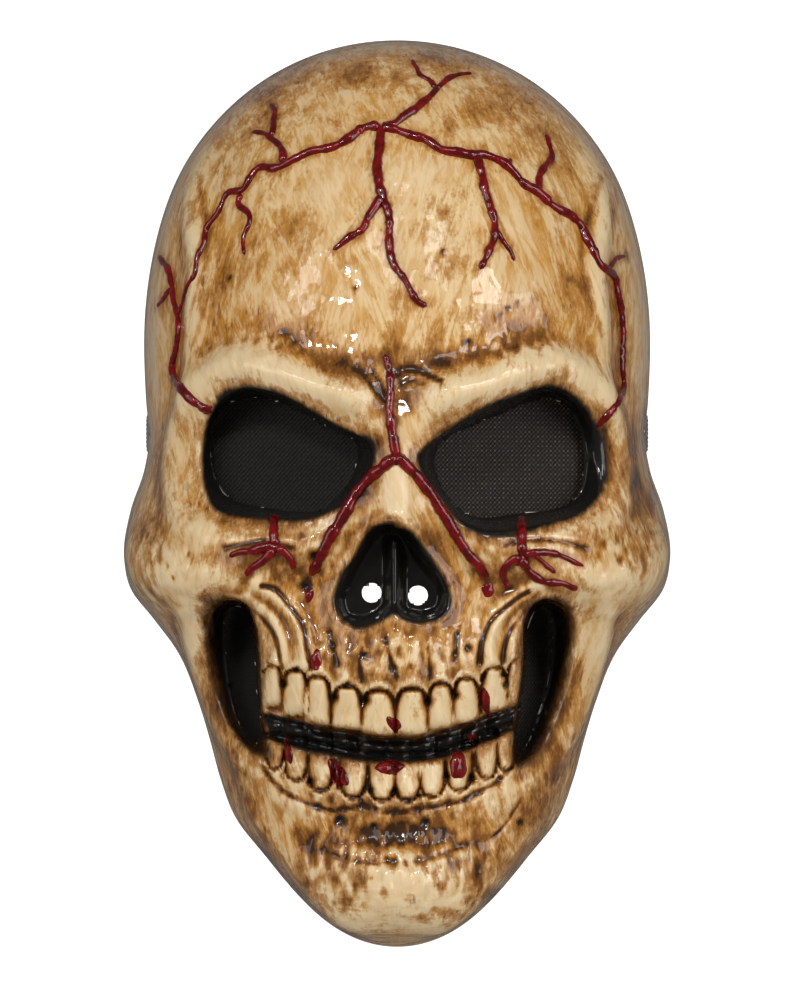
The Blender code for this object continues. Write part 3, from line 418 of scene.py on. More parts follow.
# Brown wash, by pixel. Columns: x, y, half width and half height in pixels, lean in degrees, strength
STAINS = (
    (350, 374, 24, 22, 0, 0.85), (412, 380, 28, 22, 0, 0.85), (378, 412, 30, 26, 0, 0.7),
    (528, 322, 34, 34, 0, 0.75), (497, 318, 26, 18, 0, 0.6), (505, 104, 44, 20, -14, 0.6),
    (268, 92, 40, 18, 20, 0.65), (330, 78, 40, 12, 10, 0.5), (226, 168, 16, 30, -25, 0.5),
    (300, 336, 30, 22, 0, 0.6), (246, 322, 26, 10, 0, 0.5), (318, 368, 22, 12, 0, 0.5),
    (574, 292, 24, 34, 0, 0.6), (556, 228, 16, 22, 0, 0.4), (430, 84, 40, 14, 0, 0.45),
    (268, 556, 46, 20, 0, 0.85), (300, 560, 22, 14, 0, 0.8), (596, 536, 44, 18, 12, 0.75),
    (560, 556, 40, 16, 0, 0.6), (152, 560, 26, 36, 0, 0.5), (640, 540, 22, 34, 0, 0.6),
    (616, 500, 12, 34, 0, 0.7), (190, 500, 10, 34, 0, 0.5), (240, 792, 34, 38, 30, 0.6),
    (300, 872, 40, 24, 20, 0.6), (470, 866, 40, 22, -20, 0.6), (394, 840, 60, 22, 0, 0.7),
    (430, 918, 50, 12, -10, 0.75), (350, 912, 40, 14, 10, 0.55), (520, 830, 26, 34, -30, 0.6),
    (336, 652, 34, 34, 0, 0.75), (376, 650, 22, 24, 0, 0.7), (448, 652, 34, 30, 0, 0.7),
    (240, 376, 50, 10, 12, 0.6), (560, 374, 50, 10, -8, 0.6), (300, 535, 70, 10, 0, 0.6),
    (520, 548, 60, 10, 0, 0.6), (394, 806, 120, 22, 0, 0.8), (394, 772, 110, 14, 0, 0.65),
    (394, 676, 130, 14, 0, 0.5), (255, 640, 16, 40, -10, 0.7), (520, 640, 14, 36, 8, 0.7),
    (210, 600, 16, 10, 0, 0.6), (560, 584, 30, 10, 0, 0.6), (180, 420, 20, 40, 0, 0.35),
    (300, 240, 18, 40, -20, 0.35), (446, 240, 24, 40, 0, 0.3), (245, 260, 24, 40, -15, 0.4),
    (636, 440, 10, 60, 0, 0.4), (398, 300, 12, 60, 0, 0.3), (186, 330, 10, 50, 0, 0.4),
    (350, 70, 90, 24, 0, 0.6), (250, 130, 40, 24, 35, 0.45), (546, 130, 40, 24, -35, 0.45),
    (215, 730, 22, 60, 15, 0.5), (575, 740, 22, 60, -12, 0.5), (250, 830, 30, 30, 40, 0.55),
    (540, 830, 30, 30, -40, 0.55), (626, 470, 14, 44, 0, 0.75), (175, 480, 12, 44, 0, 0.5),
    (628, 455, 12, 40, 0, 1.0), (640, 505, 14, 40, 0, 0.8), (636, 560, 22, 26, 0, 0.7),
    (650, 540, 10, 40, 0, 0.6), (160, 470, 10, 60, 0, 0.5), (150, 540, 16, 40, 0, 0.55),
    (356, 74, 40, 18, 0, 1.0), (300, 72, 40, 16, 20, 0.85), (440, 62, 50, 14, -5, 0.9),
    (520, 96, 40, 16, -24, 0.8), (250, 806, 16, 34, 20, 1.0), (232, 760, 12, 40, 12, 0.9),
    (262, 850, 20, 30, 35, 0.8), (536, 806, 18, 34, -25, 0.9), (556, 760, 14, 40, -15, 0.8),
    (500, 860, 30, 20, -30, 0.8), (486, 894, 24, 12, -20, 1.15), (450, 914, 30, 8, -6, 1.2),
    (330, 846, 30, 14, 10, 0.85), (470, 846, 26, 12, -10, 0.8), (396, 830, 50, 14, 0, 1.0),
    (376, 812, 20, 12, 0, 0.9), (300, 892, 24, 16, 35, 0.9), (360, 930, 40, 8, 6, 0.8),
    (360, 880, 9, 16, 0, 1.3), (392, 868, 8, 14, 10, 1.2), (425, 856, 9, 18, -10, 1.4),
    (455, 866, 8, 16, -6, 1.3), (330, 870, 8, 18, 8, 1.3), (410, 900, 8, 10, 0, 1.2),
    (376, 846, 10, 16, 0, 1.3), (346, 858, 8, 12, 0, 1.2), (440, 888, 8, 12, 0, 1.2),
    (478, 872, 8, 22, -12, 1.4), (312, 852, 8, 20, 12, 1.3), (440, 836, 20, 12, 0, 1.0),
    (345, 900, 8, 12, 10, 1.2), (384, 892, 7, 10, 0, 1.1), (470, 900, 10, 10, 0, 1.4),
    (300, 836, 7, 18, 14, 1.0), (645, 430, 7, 26, 0, 1.1), (634, 480, 8, 22, 0, 1.2),
    (650, 500, 7, 24, 0, 1.0), (622, 510, 7, 16, 0, 0.9), (224, 280, 10, 40, -8, 0.7),
    (202, 300, 7, 34, -6, 0.8), (252, 318, 26, 14, 0, 0.6), (290, 250, 9, 34, -14, 0.4),
    (590, 215, 8, 30, -8, 0.6), (612, 210, 7, 24, -10, 0.7), (606, 290, 8, 30, 0, 0.6),
    (330, 120, 22, 12, 0, 0.35), (450, 126, 8, 14, 0, 0.8), (470, 100, 24, 14, -30, 0.5),
    (430, 366, 20, 12, 10, 0.8), (362, 374, 14, 22, -25, 0.9), (610, 160, 16, 50, -30, 0.35),
    (180, 200, 14, 50, 20, 0.35), (330, 905, 34, 20, 25, 0.55),
)
# The brown darkening beside the veins is stain and painted shadow of their relief.
VEIN_STAIN_AND_SHADOW = 0.6
VEIN_STAIN_AND_SHADOW_REACH = 2.2
BLACK_FEATHER = 1.15
BLACK_FEATHER_REACH = 6.0
# Bone with small hammered bumps, by pixel. Columns as for the wash
HAMMERED = (
    (394, 870, 110, 56, 0, 1.0), (168, 560, 34, 50, 0, 0.9), (628, 560, 36, 44, 0, 1.0),
    (255, 350, 60, 16, 8, 0.8), (540, 356, 60, 18, -10, 0.8), (394, 800, 130, 30, 0, 0.7),
    (300, 560, 60, 30, 0, 0.5), (520, 560, 50, 26, 0, 0.6), (640, 470, 20, 60, 0, 1.0),
    (394, 655, 90, 24, 0, 0.8), (240, 780, 30, 50, 20, 0.6), (550, 780, 30, 50, -20, 0.6),
)
HAMMER_STRETCH = (1.5, 1, 1)
HAMMER_SIZE = 3.6
HAMMER_PLACE = 5.3
HAMMER_DEPTH = 1.3
# Pale, plain bone and painted highlights on the brows, cheekbones, nose and chin, by pixel. Columns as for
# the wash
PALE_AND_HIGHLIGHTS = (
    (430, 240, 60, 60, 0, 0.45), (400, 885, 60, 26, 0, 0.4), (250, 350, 44, 14, 8, 0.6),
    (540, 352, 50, 14, -10, 0.7), (345, 345, 24, 24, 0, 0.4), (432, 352, 22, 20, 0, 0.4),
    (420, 205, 50, 40, 0, 0.5), (330, 200, 30, 30, 0, 0.35), (170, 560, 20, 20, 0, 0.5),
    (620, 575, 26, 14, 0, 0.5), (290, 900, 24, 14, 30, 0.3), (210, 780, 10, 40, 15, 0.3),
    (290, 528, 40, 8, 0, 0.5), (560, 520, 34, 10, 12, 0.5), (394, 500, 16, 24, 0, 0.5),
)
# How far the black paint fades outside its outlines, and where it is thinned on the walls of the side
# recesses, as wear and painted sheen
BLACK_SPREAD = 2.0
BLACK_FADE = 3.4
SIDE_WALL_WEAR_AND_SHEEN = 0.5
SIDE_WALL_MIDDLE = 2.0
SIDE_WALL_REACH = 2.6
# Ink and wash in the pits and the furrows: their strength, and their reach against the width of each
PIT_INK = 0.95
PIT_INK_REACH = 0.75
PIT_WASH_REACH = 1.7
FURROW_WASH = 1.25
FURROW_WASH_REACH = 0.9
# Hollows that the wash settles in and ridges that it is rubbed off, lightened also as painted highlight: the
# rounds of evening out that they are measured against, and the millimetres at which each counts in full
FINE_ROUNDS = 8
FINE_HOLLOW = 0.35
FINE_RIDGE = 0.3
BROAD_ROUNDS = 60
BROAD_HOLLOW = 1.3
BROAD_RIDGE = 1.2
# The greyish rim, grey overspray and painted sheen: the bulge where it starts to fade and how soon it is
# gone, then the same for its height
RIM_START = 0.22
RIM_WIDTH = 0.20
RIM_LOW_Z = -75
RIM_FADE = 20
# The chin, where the brush strokes run across: its top, and how soon the strokes have turned
CHIN_STROKES_Z = -132
CHIN_STROKES_FADE = 9

# Paint, plastic and thread, as linear colours
WASH_LEVEL = 0.30
# The lightest cream serves for dry-brushed strokes and for painted highlights on raised places.
CREAM_LIGHT = (0.88, 0.72, 0.46)
CREAM = (0.73, 0.455, 0.150)
TAN = (0.57, 0.265, 0.036)
OCHRE = (0.42, 0.160, 0.013)
BROWN = (0.175, 0.056, 0.006)
DARK_BROWN = (0.032, 0.013, 0.004)
# Grey overspray and painted sheen along the rim
GREY_RIM_AND_SHEEN = (0.50, 0.385, 0.295)
BLACK_PAINT = (0.0085, 0.0075, 0.006)
WORN_BLACK = (0.030, 0.018, 0.009)
BLOOD_DARK = (0.085, 0.0014, 0.0018)
BLOOD_LIGHT = (0.220, 0.0032, 0.0050)
PLASTIC_DARK = (0.62, 0.57, 0.47)
PLASTIC_LIGHT = (0.74, 0.69, 0.58)
MESH_PIT = (0.0045, 0.0038, 0.003)
# Thread colours are painted sheen on black thread: the first for panels painted as in shade, the second for
# the panel painted as lit.
PAINTED_DIM_THREAD = (0.060, 0.045, 0.032)
PAINTED_LIT_THREAD = (0.25, 0.185, 0.135)
# The elastic's black, and its painted sheen on the rib crests
ELASTIC_DARK = (0.008, 0.008, 0.008)
ELASTIC_RIB_SHEEN = (0.045, 0.043, 0.042)
STEEL_DARK = (0.36, 0.35, 0.34)
STEEL_LIGHT = (0.52, 0.51, 0.50)

# A distance outside every outline, a place in front of the mask, and a face's corners when it is turned over
FAR_OUTSIDE = -99.0
RAY_START_Y = -250.0
TURNED_OVER = (0, 3, 2, 1)
# A cell of the skin or the lining is left out when its corners lie this far inside a hole or a recess
HOLE_LIMIT = 0.02
RECESS_LIMIT = 0.3
AIR_HOLE_POINTS = 24

# Veins: the spacing of their rings, and their swelling, beads and sway against their widths
VEIN_STEP = 0.7
VEIN_SIDES = 12
VEIN_GROWTH = 1.12
VEIN_BEAD = 0.36
VEIN_ROUGHNESS = 0.22
VEIN_THINNEST = 0.72
VEIN_SINK = 0.4
VEIN_SWAY = 0.45
VEIN_ROUND_END = 0.7
VEIN_STRAIGHT_END = 4
VEIN_PLACE_STEP = 7.3
# The waves of a vein's beads, its roughness and its sway. Columns: length, lane of the noise
VEIN_WAVES = ((3.2, 0), (1.4, 5), (5.0, 9))
# Drops: their grid, how high they stand and how deep their edge lies, and how ragged it is
DROP_RINGS = 8
DROP_SIDES = 28
DROP_RISE = 0.75
DROP_SINK = 0.3
DROP_RAGGED = 0.45
DROP_PLACE_STEP = 3.7

# Knitted mesh, strap and rivets
KNIT_PITCH = 1.4
KNIT_CELL = 0.28
KNIT_RELIEF = 0.18
KNIT_GAP = 1.5
STRAP_STEP = 0.42
STRAP_RIBS = 9
STRAP_RELIEF = 0.22
STRAP_WEAVE = 1.3
STRAP_WEAVE_RELIEF = 0.09
RIVET_SIDES = 40
# The rivet's head. Columns: radius, distance from its inner face
RIVET_HEAD = ((0.0, 0.0), (1.6, 0.03), (2.5, 0.2), (2.9, 0.5), (3.0, 0.75), (2.9, RIVET_HEAD_THICKNESS))

# Stage, lamps and camera, in metres and watts
FLOOR_Z = -0.32
WALL_Y = 2.7
BEND = 0.8
STAGE_REACH = 5.0
STAGE_COLOR = (0.88, 0.88, 0.875)
WORLD_STRENGTH = 0.10
CAMERA_X = 0.0009
SENSOR_HEIGHT = 24.0
# Columns: name, place, aim, side, power, colour
LAMPS = (
    ("key_lamp", (-0.46, -1.32, 0.80), (0, -0.05, 0), 0.17, 6.2, (1, 0.98, 0.95)),
    ("right_lamp", (1.3, -0.9, 0.25), (0, -0.05, -0.02), 0.9, 8.0, (1, 1, 1)),
    ("left_lamp", (-1.3, -0.9, 0.25), (0, -0.05, -0.02), 0.9, 4.6, (1, 1, 1)),
    ("high_right_lamp", (0.95, -1.1, 0.80), (0, -0.05, 0), 0.35, 3.8, (1, 1, 1)),
    ("high_left_lamp", (-0.95, -1.1, 0.80), (0, -0.05, 0), 0.35, 2.6, (1, 1, 1)),
    ("top_lamp", (0.25, -1.3, 1.15), (0, -0.05, 0), 0.4, 2.8, (1, 1, 1)),
    ("backdrop_lamp", (0, 1.2, 1.8), (0, 2.7, 1.4), 1.6, 75, (1, 1, 1)),
)


def from_pixels(rows):
    """Front-view places for rows that start with a pixel's x and y, with any further columns kept."""
    table = np.array(rows, float)
    table[:, 0] = (table[:, 0] - MIDDLE_PIXEL_X) * MM_PER_PIXEL
    table[:, 1] = (STRAP_PIXEL_Y - table[:, 1]) * MM_PER_PIXEL
    return table


def smooth_table(at, rows, column):
    """A column of a table of rows at heights between them, on a smooth curve through the rows."""
    table = np.array(sorted(rows), float)
    places, values = table[:, 0], table[:, column]
    slopes = np.gradient(values, places)
    i = np.clip(np.searchsorted(places, at) - 1, 0, len(places) - 2)
    gap = places[i + 1] - places[i]
    t = np.clip((at - places[i]) / gap, 0, 1)
    rise = (1 + 2 * t) * (1 - t) ** 2 * values[i] + t**2 * (3 - 2 * t) * values[i + 1]
    return rise + gap * (t * (1 - t) ** 2 * slopes[i] + t**2 * (t - 1) * slopes[i + 1])


def smooth_step(t):
    """0 below 0, 1 above 1, and a smooth rise between them."""
    t = np.clip(t, 0, 1)
    return t * t * (3 - 2 * t)


def smooth_path(points, closed=False, steps=6):
    """More points on a Catmull-Rom curve through the given ones, with any further columns carried along."""
    p = np.array(points, float)
    if closed:
        p = np.concatenate([p[-1:], p, p[:2]])
    else:
        p = np.concatenate([2 * p[:1] - p[1:2], p, 2 * p[-1:] - p[-2:-1]])
    t = np.linspace(0, 1, steps, endpoint=False)[None, :, None]
    a, b, c, d = (p[k : len(p) - 3 + k, None, :] for k in range(4))
    curve = 0.5 * (2 * b + (c - a) * t + (2 * a - 5 * b + 4 * c - d) * t**2 + (3 * b - a - 3 * c + d) * t**3)
    curve = curve.reshape(-1, p.shape[1])
    return curve if closed else np.concatenate([curve, p[-2:-1]])


def closed_ring(outline):
    """A closed outline as a smooth path that ends where it starts."""
    curve = smooth_path(outline, closed=True)
    return np.concatenate([curve, curve[:1]])


def run_length(points):
    """The length of a path from its start to each of its points."""
    return np.concatenate([[0], np.cumsum(np.linalg.norm(np.diff(points, axis=0), axis=1))])


def evened_out(points):
    """The points of a path, each but the ends moved towards the middle of its neighbours."""
    points = points.copy()
    points[1:-1] = 0.25 * points[:-2] + 0.5 * points[1:-1] + 0.25 * points[2:]
    return points


def twice_area(outline):
    """Twice the area of a closed outline, and below 0 if it runs clockwise."""
    after = np.roll(outline, -1, axis=0)
    return (outline[:, 0] * after[:, 1] - after[:, 0] * outline[:, 1]).sum()


def nearest_on_path(x, z, path):
    """How far each place is from a path in the front view, and the path's columns at its nearest point."""
    best = np.full(x.shape, 1e9)
    columns = np.zeros(x.shape + path.shape[1:])
    for start, end in zip(path[:-1], path[1:]):
        step = end - start
        t = ((x - start[0]) * step[0] + (z - start[1]) * step[1]) / max(step[:2] @ step[:2], 1e-9)
        t = np.clip(t, 0, 1)
        gap = np.hypot(x - start[0] - t * step[0], z - start[1] - t * step[1])
        nearer = gap < best
        best = np.where(nearer, gap, best)
        columns = np.where(nearer[..., None], start + t[..., None] * step, columns)
    return best, columns


def inside_outline(x, z, outline):
    """How far each place lies inside a closed outline in the front view, and below 0 outside it."""
    ring = closed_ring(outline)
    gap, _ = nearest_on_path(x, z, ring)
    crossings = np.zeros(x.shape, int)
    for (x0, z0), (x1, z1) in zip(ring[:-1], ring[1:]):
        spans = (z0 > z) != (z1 > z)
        rise = z1 - z0 if z1 != z0 else 1e-9
        crossings += spans & (x < x0 + (z - z0) / rise * (x1 - x0))
    return np.where(crossings % 2 == 1, gap, -gap)


def ridge(x, z, rows):
    """The height of a ridge whose rows give its course, half width and height."""
    gap, columns = nearest_on_path(x, z, smooth_path(rows))
    return columns[..., 3] * np.exp(-((gap / np.maximum(columns[..., 2], 0.1)) ** 2))


def broad_relief(x, z):
    """The height of the skull's broad forms above the plain dome, along its normals."""
    side = np.abs(x)
    height = np.zeros(x.shape)
    for cx, cz, rx, rz, rise in SWELLINGS:
        height += rise * np.exp(-(((side - cx) / rx) ** 2) - ((z - cz) / rz) ** 2)
    for rows in RIDGES:
        height += ridge(side, z, rows)
    return height + ridge(x, z, NOSE_BRIDGE)


def sink(x, y, z):
    """The depth of each place once the sockets, the recesses, the mouth and the nose are sunk into it."""
    gap, _ = nearest_on_path(x, z, smooth_path(MOUTH_GAP))
    y = y + MOUTH_DEPTH * smooth_step((MOUTH_HALF_HEIGHT + MOUTH_EDGE / 2 - gap) / MOUTH_EDGE)
    for _, rim, hole, floor, slope in RECESSES:
        from_rim = np.maximum(inside_outline(x, z, rim), 0)
        to_hole = np.maximum(-inside_outline(x, z, hole), 0)
        share = smooth_step(from_rim / np.maximum(from_rim + to_hole, 1e-6))
        y = y + share * np.maximum(floor + slope * np.abs(x) - y, 0)
    nose = inside_outline(x, z, NOSE_RIM)
    divider = np.exp(-(((x - DIVIDER_X) / DIVIDER_HALF_WIDTH) ** 2))
    floor = NOSE_FLOOR_Y - DIVIDER_HEIGHT * divider * smooth_step((DIVIDER_TOP_Z - z) / DIVIDER_FADE)
    return y + smooth_step(nose / NOSE_WALL_WIDTH) * np.maximum(floor - y, 0)


def dome(columns, rows):
    """The plain dome under the skull's forms, as grids of x, y, z and how far it has bulged, 0 to 1."""
    s = np.linspace(-1, 1, columns + 1)
    t = np.linspace(-1, 1, rows + 1)
    s = s * (1 - COLUMN_EASE + COLUMN_EASE * s * s)
    t = t - ROW_SHIFT * np.sin(math.pi * t) - ROW_DROP * (1 - t * t)
    s, t = np.meshgrid(s, t)
    p, q = s * np.sqrt(1 - t * t / 2), t * np.sqrt(1 - s * s / 2)
    radius = np.clip(np.hypot(p, q), 1e-9, 1)
    spread = np.sin(radius * math.pi / 2)
    p, q = p * spread / radius, q * spread / radius
    z = (CROWN_Z + CHIN_Z) / 2 + q * (CROWN_Z - CHIN_Z) / 2
    x = p * smooth_table(z, LEVELS, 1)
    bulge = np.clip(1 - spread**SIDE_ROUNDNESS, 0, 1) ** (1 / SIDE_ROUNDNESS)
    y = -smooth_table(z, LEVELS, 3) - smooth_table(z, LEVELS, 2) * bulge
    return x, y, z, bulge


def grid_normals(points):
    """Outward unit normals of a grid of points."""
    along, up = np.gradient(points, axis=1), np.gradient(points, axis=0)
    normal = np.cross(along, up)
    return normal / np.maximum(np.linalg.norm(normal, axis=2, keepdims=True), 1e-9)


def from_view(points):
    """Real places for places given as they look from the front, VIEW_DISTANCE away from VIEW_PLANE_Y."""
    spread = 1 + (points[..., 1] - VIEW_PLANE_Y) / VIEW_DISTANCE
    real = points.copy()
    real[..., 0] = points[..., 0] * spread
    real[..., 2] = VIEW_Z + (points[..., 2] - VIEW_Z) * spread
    return real


def real_outline(outline, depth):
    """An outline of the front view at its real size, where depth gives the y of each of its points."""
    curve = smooth_path(outline, closed=True, steps=OUTLINE_STEPS)
    points = np.stack([curve[:, 0], depth(curve[:, 0]), curve[:, 1]], axis=1)
    return from_view(points)


def grown(outline, distance):
    """A closed outline of x and z moved outwards by a distance, and evened out."""
    along = np.roll(outline, -1, axis=0) - np.roll(outline, 1, axis=0)
    outward = np.stack([along[:, 1], -along[:, 0]], axis=1)
    outward /= np.linalg.norm(outward, axis=1, keepdims=True)
    moved = outline + outward * distance * np.sign(twice_area(outline))
    return 0.5 * moved + 0.25 * (np.roll(moved, 1, axis=0) + np.roll(moved, -1, axis=0))


def gum_line(x, row, root):
    """The gum's level along a row of teeth: an arch at each tooth, and a point between each two."""
    rows = np.array(row)
    across = (x[..., None] - rows[:, 0]) / (rows[:, 1] * TOOTH_SPREAD)
    nearest = np.abs(across).argmin(axis=-1)
    own = np.take_along_axis(across, nearest[..., None], axis=-1)[..., 0]
    rise = np.maximum(ARCH_RISE - ARCH_DROP * own**2, -ARCH_POINT)
    return rows[nearest, 2] + root * rise


def tooth(x, z, middle, half_width, gum_z, tip_z):
    """The height of one tooth: crowned across, pointed towards the gum and rounded at its tip."""
    along = np.clip((z - gum_z) / (tip_z - gum_z), 0, 1)
    widening = np.sin(np.minimum(along / TOOTH_WIDEST, 1) * math.pi / 2)
    taper = TOOTH_NECK + (TOOTH_SPREAD - TOOTH_NECK) * widening
    across = (x - middle) / (half_width * taper)
    block = np.clip(1 - np.abs(across) ** 2.4, 0, 1) ** 0.55
    start = smooth_step(along / TOOTH_START)
    tip = np.clip(1 - np.clip((along - TOOTH_TIP) / (1 - TOOTH_TIP), 0, 1) ** 2.6, 0, 1) ** 0.5
    return block * start * tip


def teeth_relief(x, z):
    """Both rows of teeth on a sunken bed, with a raised gum edge and the swelling of each root."""
    height = np.zeros(x.shape)
    for row, root in ((UPPER_TEETH, 1), (LOWER_TEETH, -1)):
        rows = np.array(row)
        gums = gum_line(x, row, root)
        tips = np.interp(x, rows[:, 0], rows[:, 3])
        left_end = smooth_step((x - rows[0, 0] + BED_MARGIN) / BED_FADE)
        right_end = smooth_step((rows[-1, 0] + BED_MARGIN - x) / BED_FADE)
        ends = left_end * right_end
        below_gum = smooth_step((gums - z) * root / BED_EDGE + 0.5)
        height -= TOOTH_BED * below_gum * smooth_step((z - tips) * root / GUM_EDGE + 1.5) * ends
        lip = np.exp(-((((z - gums) * root - GUM_LIP_MIDDLE) / GUM_LIP_WIDTH) ** 2))
        height += GUM_LIP * lip * ends
        for middle, half_width, gum_z, tip_z in row:
            height += TOOTH_HEIGHT * tooth(x, z, middle, half_width, gum_z + root * ARCH_RISE, tip_z)
            reach = np.clip((z - gum_z) * root / ROOT_LENGTH, 0, 1)
            swell = np.exp(-(((x - middle) / (half_width * ROOT_WIDTH)) ** 2)) * (1 - reach) ** 1.5
            height += ROOT_HEIGHT * swell * smooth_step((z - gum_z) * root / GUM_EDGE)
    return height


def fine_relief(x, z):
    """The height of the folds, the teeth and the lip of the nose, straight forwards."""
    height = teeth_relief(x, z)
    for rows in FOLDS:
        height += ridge(np.abs(x), z, rows)
    nose = inside_outline(x, z, NOSE_RIM)
    return height + NOSE_LIP_HEIGHT * np.exp(-((nose / NOSE_LIP_WIDTH) ** 2))


def snap(x, z, outline, reach):
    """Places with those near a closed outline moved onto it, and how far inside it each of them lies."""
    ring = closed_ring(outline)
    low, high = ring.min(axis=0) - SNAP_MARGIN, ring.max(axis=0) + SNAP_MARGIN
    near = (x > low[0]) & (x < high[0]) & (z > low[1]) & (z < high[1])
    gap, spot = nearest_on_path(x[near], z[near], ring)
    on_edge = gap < reach
    inside = np.full(x.shape, FAR_OUTSIDE)
    inside[near] = np.where(on_edge, 0, inside_outline(x[near], z[near], outline))
    x, z = x.copy(), z.copy()
    x[near] = np.where(on_edge, spot[:, 0], x[near])
    z[near] = np.where(on_edge, spot[:, 1], z[near])
    return x, z, inside


def patches(x, z, rows):
    """The strength of a table of soft patches at each place, where the strongest one counts."""
    field = np.zeros(x.shape)
    for cx, cz, rx, rz, lean, strength in from_pixels(rows):
        turn = math.radians(lean)
        u = ((x - cx) * math.cos(turn) + (z - cz) * math.sin(turn)) / (rx * MM_PER_PIXEL)
        v = ((z - cz) * math.cos(turn) - (x - cx) * math.sin(turn)) / (rz * MM_PER_PIXEL)
        field = np.maximum(field, strength * np.exp(-(u * u + v * v)))
    return field


def noise_field(points, size, place):
    """Smooth noise about 0 at each point, with features of about the given size in millimetres."""
    flat = points.reshape(-1, 3) / size + place
    return np.array([noise.noise(Vector(p)) for p in flat]).reshape(points.shape[:-1])


def detail_relief(x, z):
    """The height of the furrows and pits that only the dressed shell has."""
    height = np.zeros(x.shape)
    for half_width, depth, course in FURROWS:
        gap, _ = nearest_on_path(x, z, smooth_path(from_pixels(course)))
        height -= depth * np.exp(-((gap / half_width) ** 2))
    for px, pz, radius, depth in from_pixels(PITS):
        height -= depth * np.exp(-(((x - px) ** 2 + (z - pz) ** 2) / radius**2))
    return height


def air_hole(cx, cz):
    """The outline of one round air hole."""
    turn = np.linspace(0, 2 * math.pi, AIR_HOLE_POINTS, endpoint=False)
    return [(cx + AIR_HOLE_RADIUS * math.cos(a), cz + AIR_HOLE_RADIUS * math.sin(a)) for a in turn]


def dressed_grid(columns, rows):
    """The finely modelled outer surface, how far each place lies inside a hole, and the dome's bulge."""
    x, y, z, bulge = dome(columns, rows)
    points = np.stack([x, y, z], axis=2)
    height = broad_relief(x, z) * smooth_step((bulge - FORM_START) / FORM_RISE)
    points = points + grid_normals(points) * height[..., None]
    hole = np.full(x.shape, FAR_OUTSIDE)
    x, z = points[..., 0], points[..., 2]
    for outline in [row[2] for row in RECESSES] + [air_hole(*middle) for middle in AIR_HOLES]:
        x, z, inside = snap(x, z, outline, EDGE_SNAP)
        hole = np.maximum(hole, inside)
    y = points[..., 1] - fine_relief(x, z) - detail_relief(x, z)
    y = sink(x, y, z)
    gap, _ = nearest_on_path(x, z, smooth_path(MOUTH_GAP))
    back_teeth = np.abs(np.cos(math.pi * x / BACK_TOOTH_PITCH)) ** 0.7
    in_mouth = smooth_step((MOUTH_HALF_HEIGHT - BACK_TOOTH_MARGIN - gap) / BACK_TOOTH_FADE)
    y -= BACK_TOOTH_HEIGHT * back_teeth * in_mouth
    points = np.stack([x, y, z], axis=2)
    wobble = sum(noise_field(points, size, place) * rise for size, place, rise in WOBBLES)
    dents = noise_field(points * HAMMER_STRETCH, HAMMER_SIZE, HAMMER_PLACE)
    wobble += dents * HAMMER_DEPTH * patches(x, z, HAMMERED)
    points[..., 1] -= wobble * smooth_step((bulge - WOBBLE_START) / WOBBLE_RISE)
    return points, hole, bulge


def cavity_field(points, rounds):
    """How far each place lies below the mean of the places around it, in millimetres."""
    normal = grid_normals(points)
    mean = points
    for _ in range(rounds):
        wide = np.pad(mean, ((1, 1), (1, 1), (0, 0)), mode="edge")
        around = wide[:-2, 1:-1] + wide[2:, 1:-1] + wide[1:-1, :-2] + wide[1:-1, 2:]
        mean = 0.2 * mean + 0.2 * around
    return ((mean - points) * normal).sum(axis=2)


def add_object(name, points, faces, paint):
    """A mesh object at the origin from points in millimetres, and the numbers of the points that it uses."""
    used = np.unique(np.concatenate([np.ravel(part) for part in faces]))
    place = np.zeros(len(points), int)
    place[used] = np.arange(len(used))
    corners = [row for part in faces for row in place[np.asarray(part)].tolist()]
    mesh = bpy.data.meshes.new(name)
    mesh.from_pydata((points[used] * MM).tolist(), [], corners)
    mesh.materials.append(paint)
    mesh.polygons.foreach_set("use_smooth", [True] * len(mesh.polygons))
    made = bpy.data.objects.new(name, mesh)
    bpy.context.scene.collection.objects.link(made)
    return made, used


def set_attribute(made, name, values):
    """A number for each point of a mesh, for its material to read."""
    layer = made.data.attributes.new(name, "FLOAT", "POINT")
    layer.data.foreach_set("value", np.asarray(values, np.float32))


def grid_faces(rows, columns):
    """The corner numbers of each cell of a grid of points, as a grid of fours."""
    index = np.arange(rows * columns).reshape(rows, columns)
    return np.stack([index[:-1, :-1], index[:-1, 1:], index[1:, 1:], index[1:, :-1]], axis=2)


def ring_faces(count, sides, start=0):
    """The corner numbers of a tube of rings of points, each ring joined to the one after it."""
    index = start + np.arange(count * sides).reshape(count, sides)
    after = np.roll(index, -1, axis=1)
    return np.stack([index[:-1], after[:-1], after[1:], index[1:]], axis=2).reshape(-1, 4)


def border_edges(faces):
    """The edges that only one face of a surface has, in that face's own direction."""
    pairs = np.concatenate([faces[:, (k, (k + 1) % 4)] for k in range(4)])
    known = set(map(tuple, pairs.tolist()))
    return np.array([pair for pair in map(tuple, pairs.tolist()) if pair[::-1] not in known])


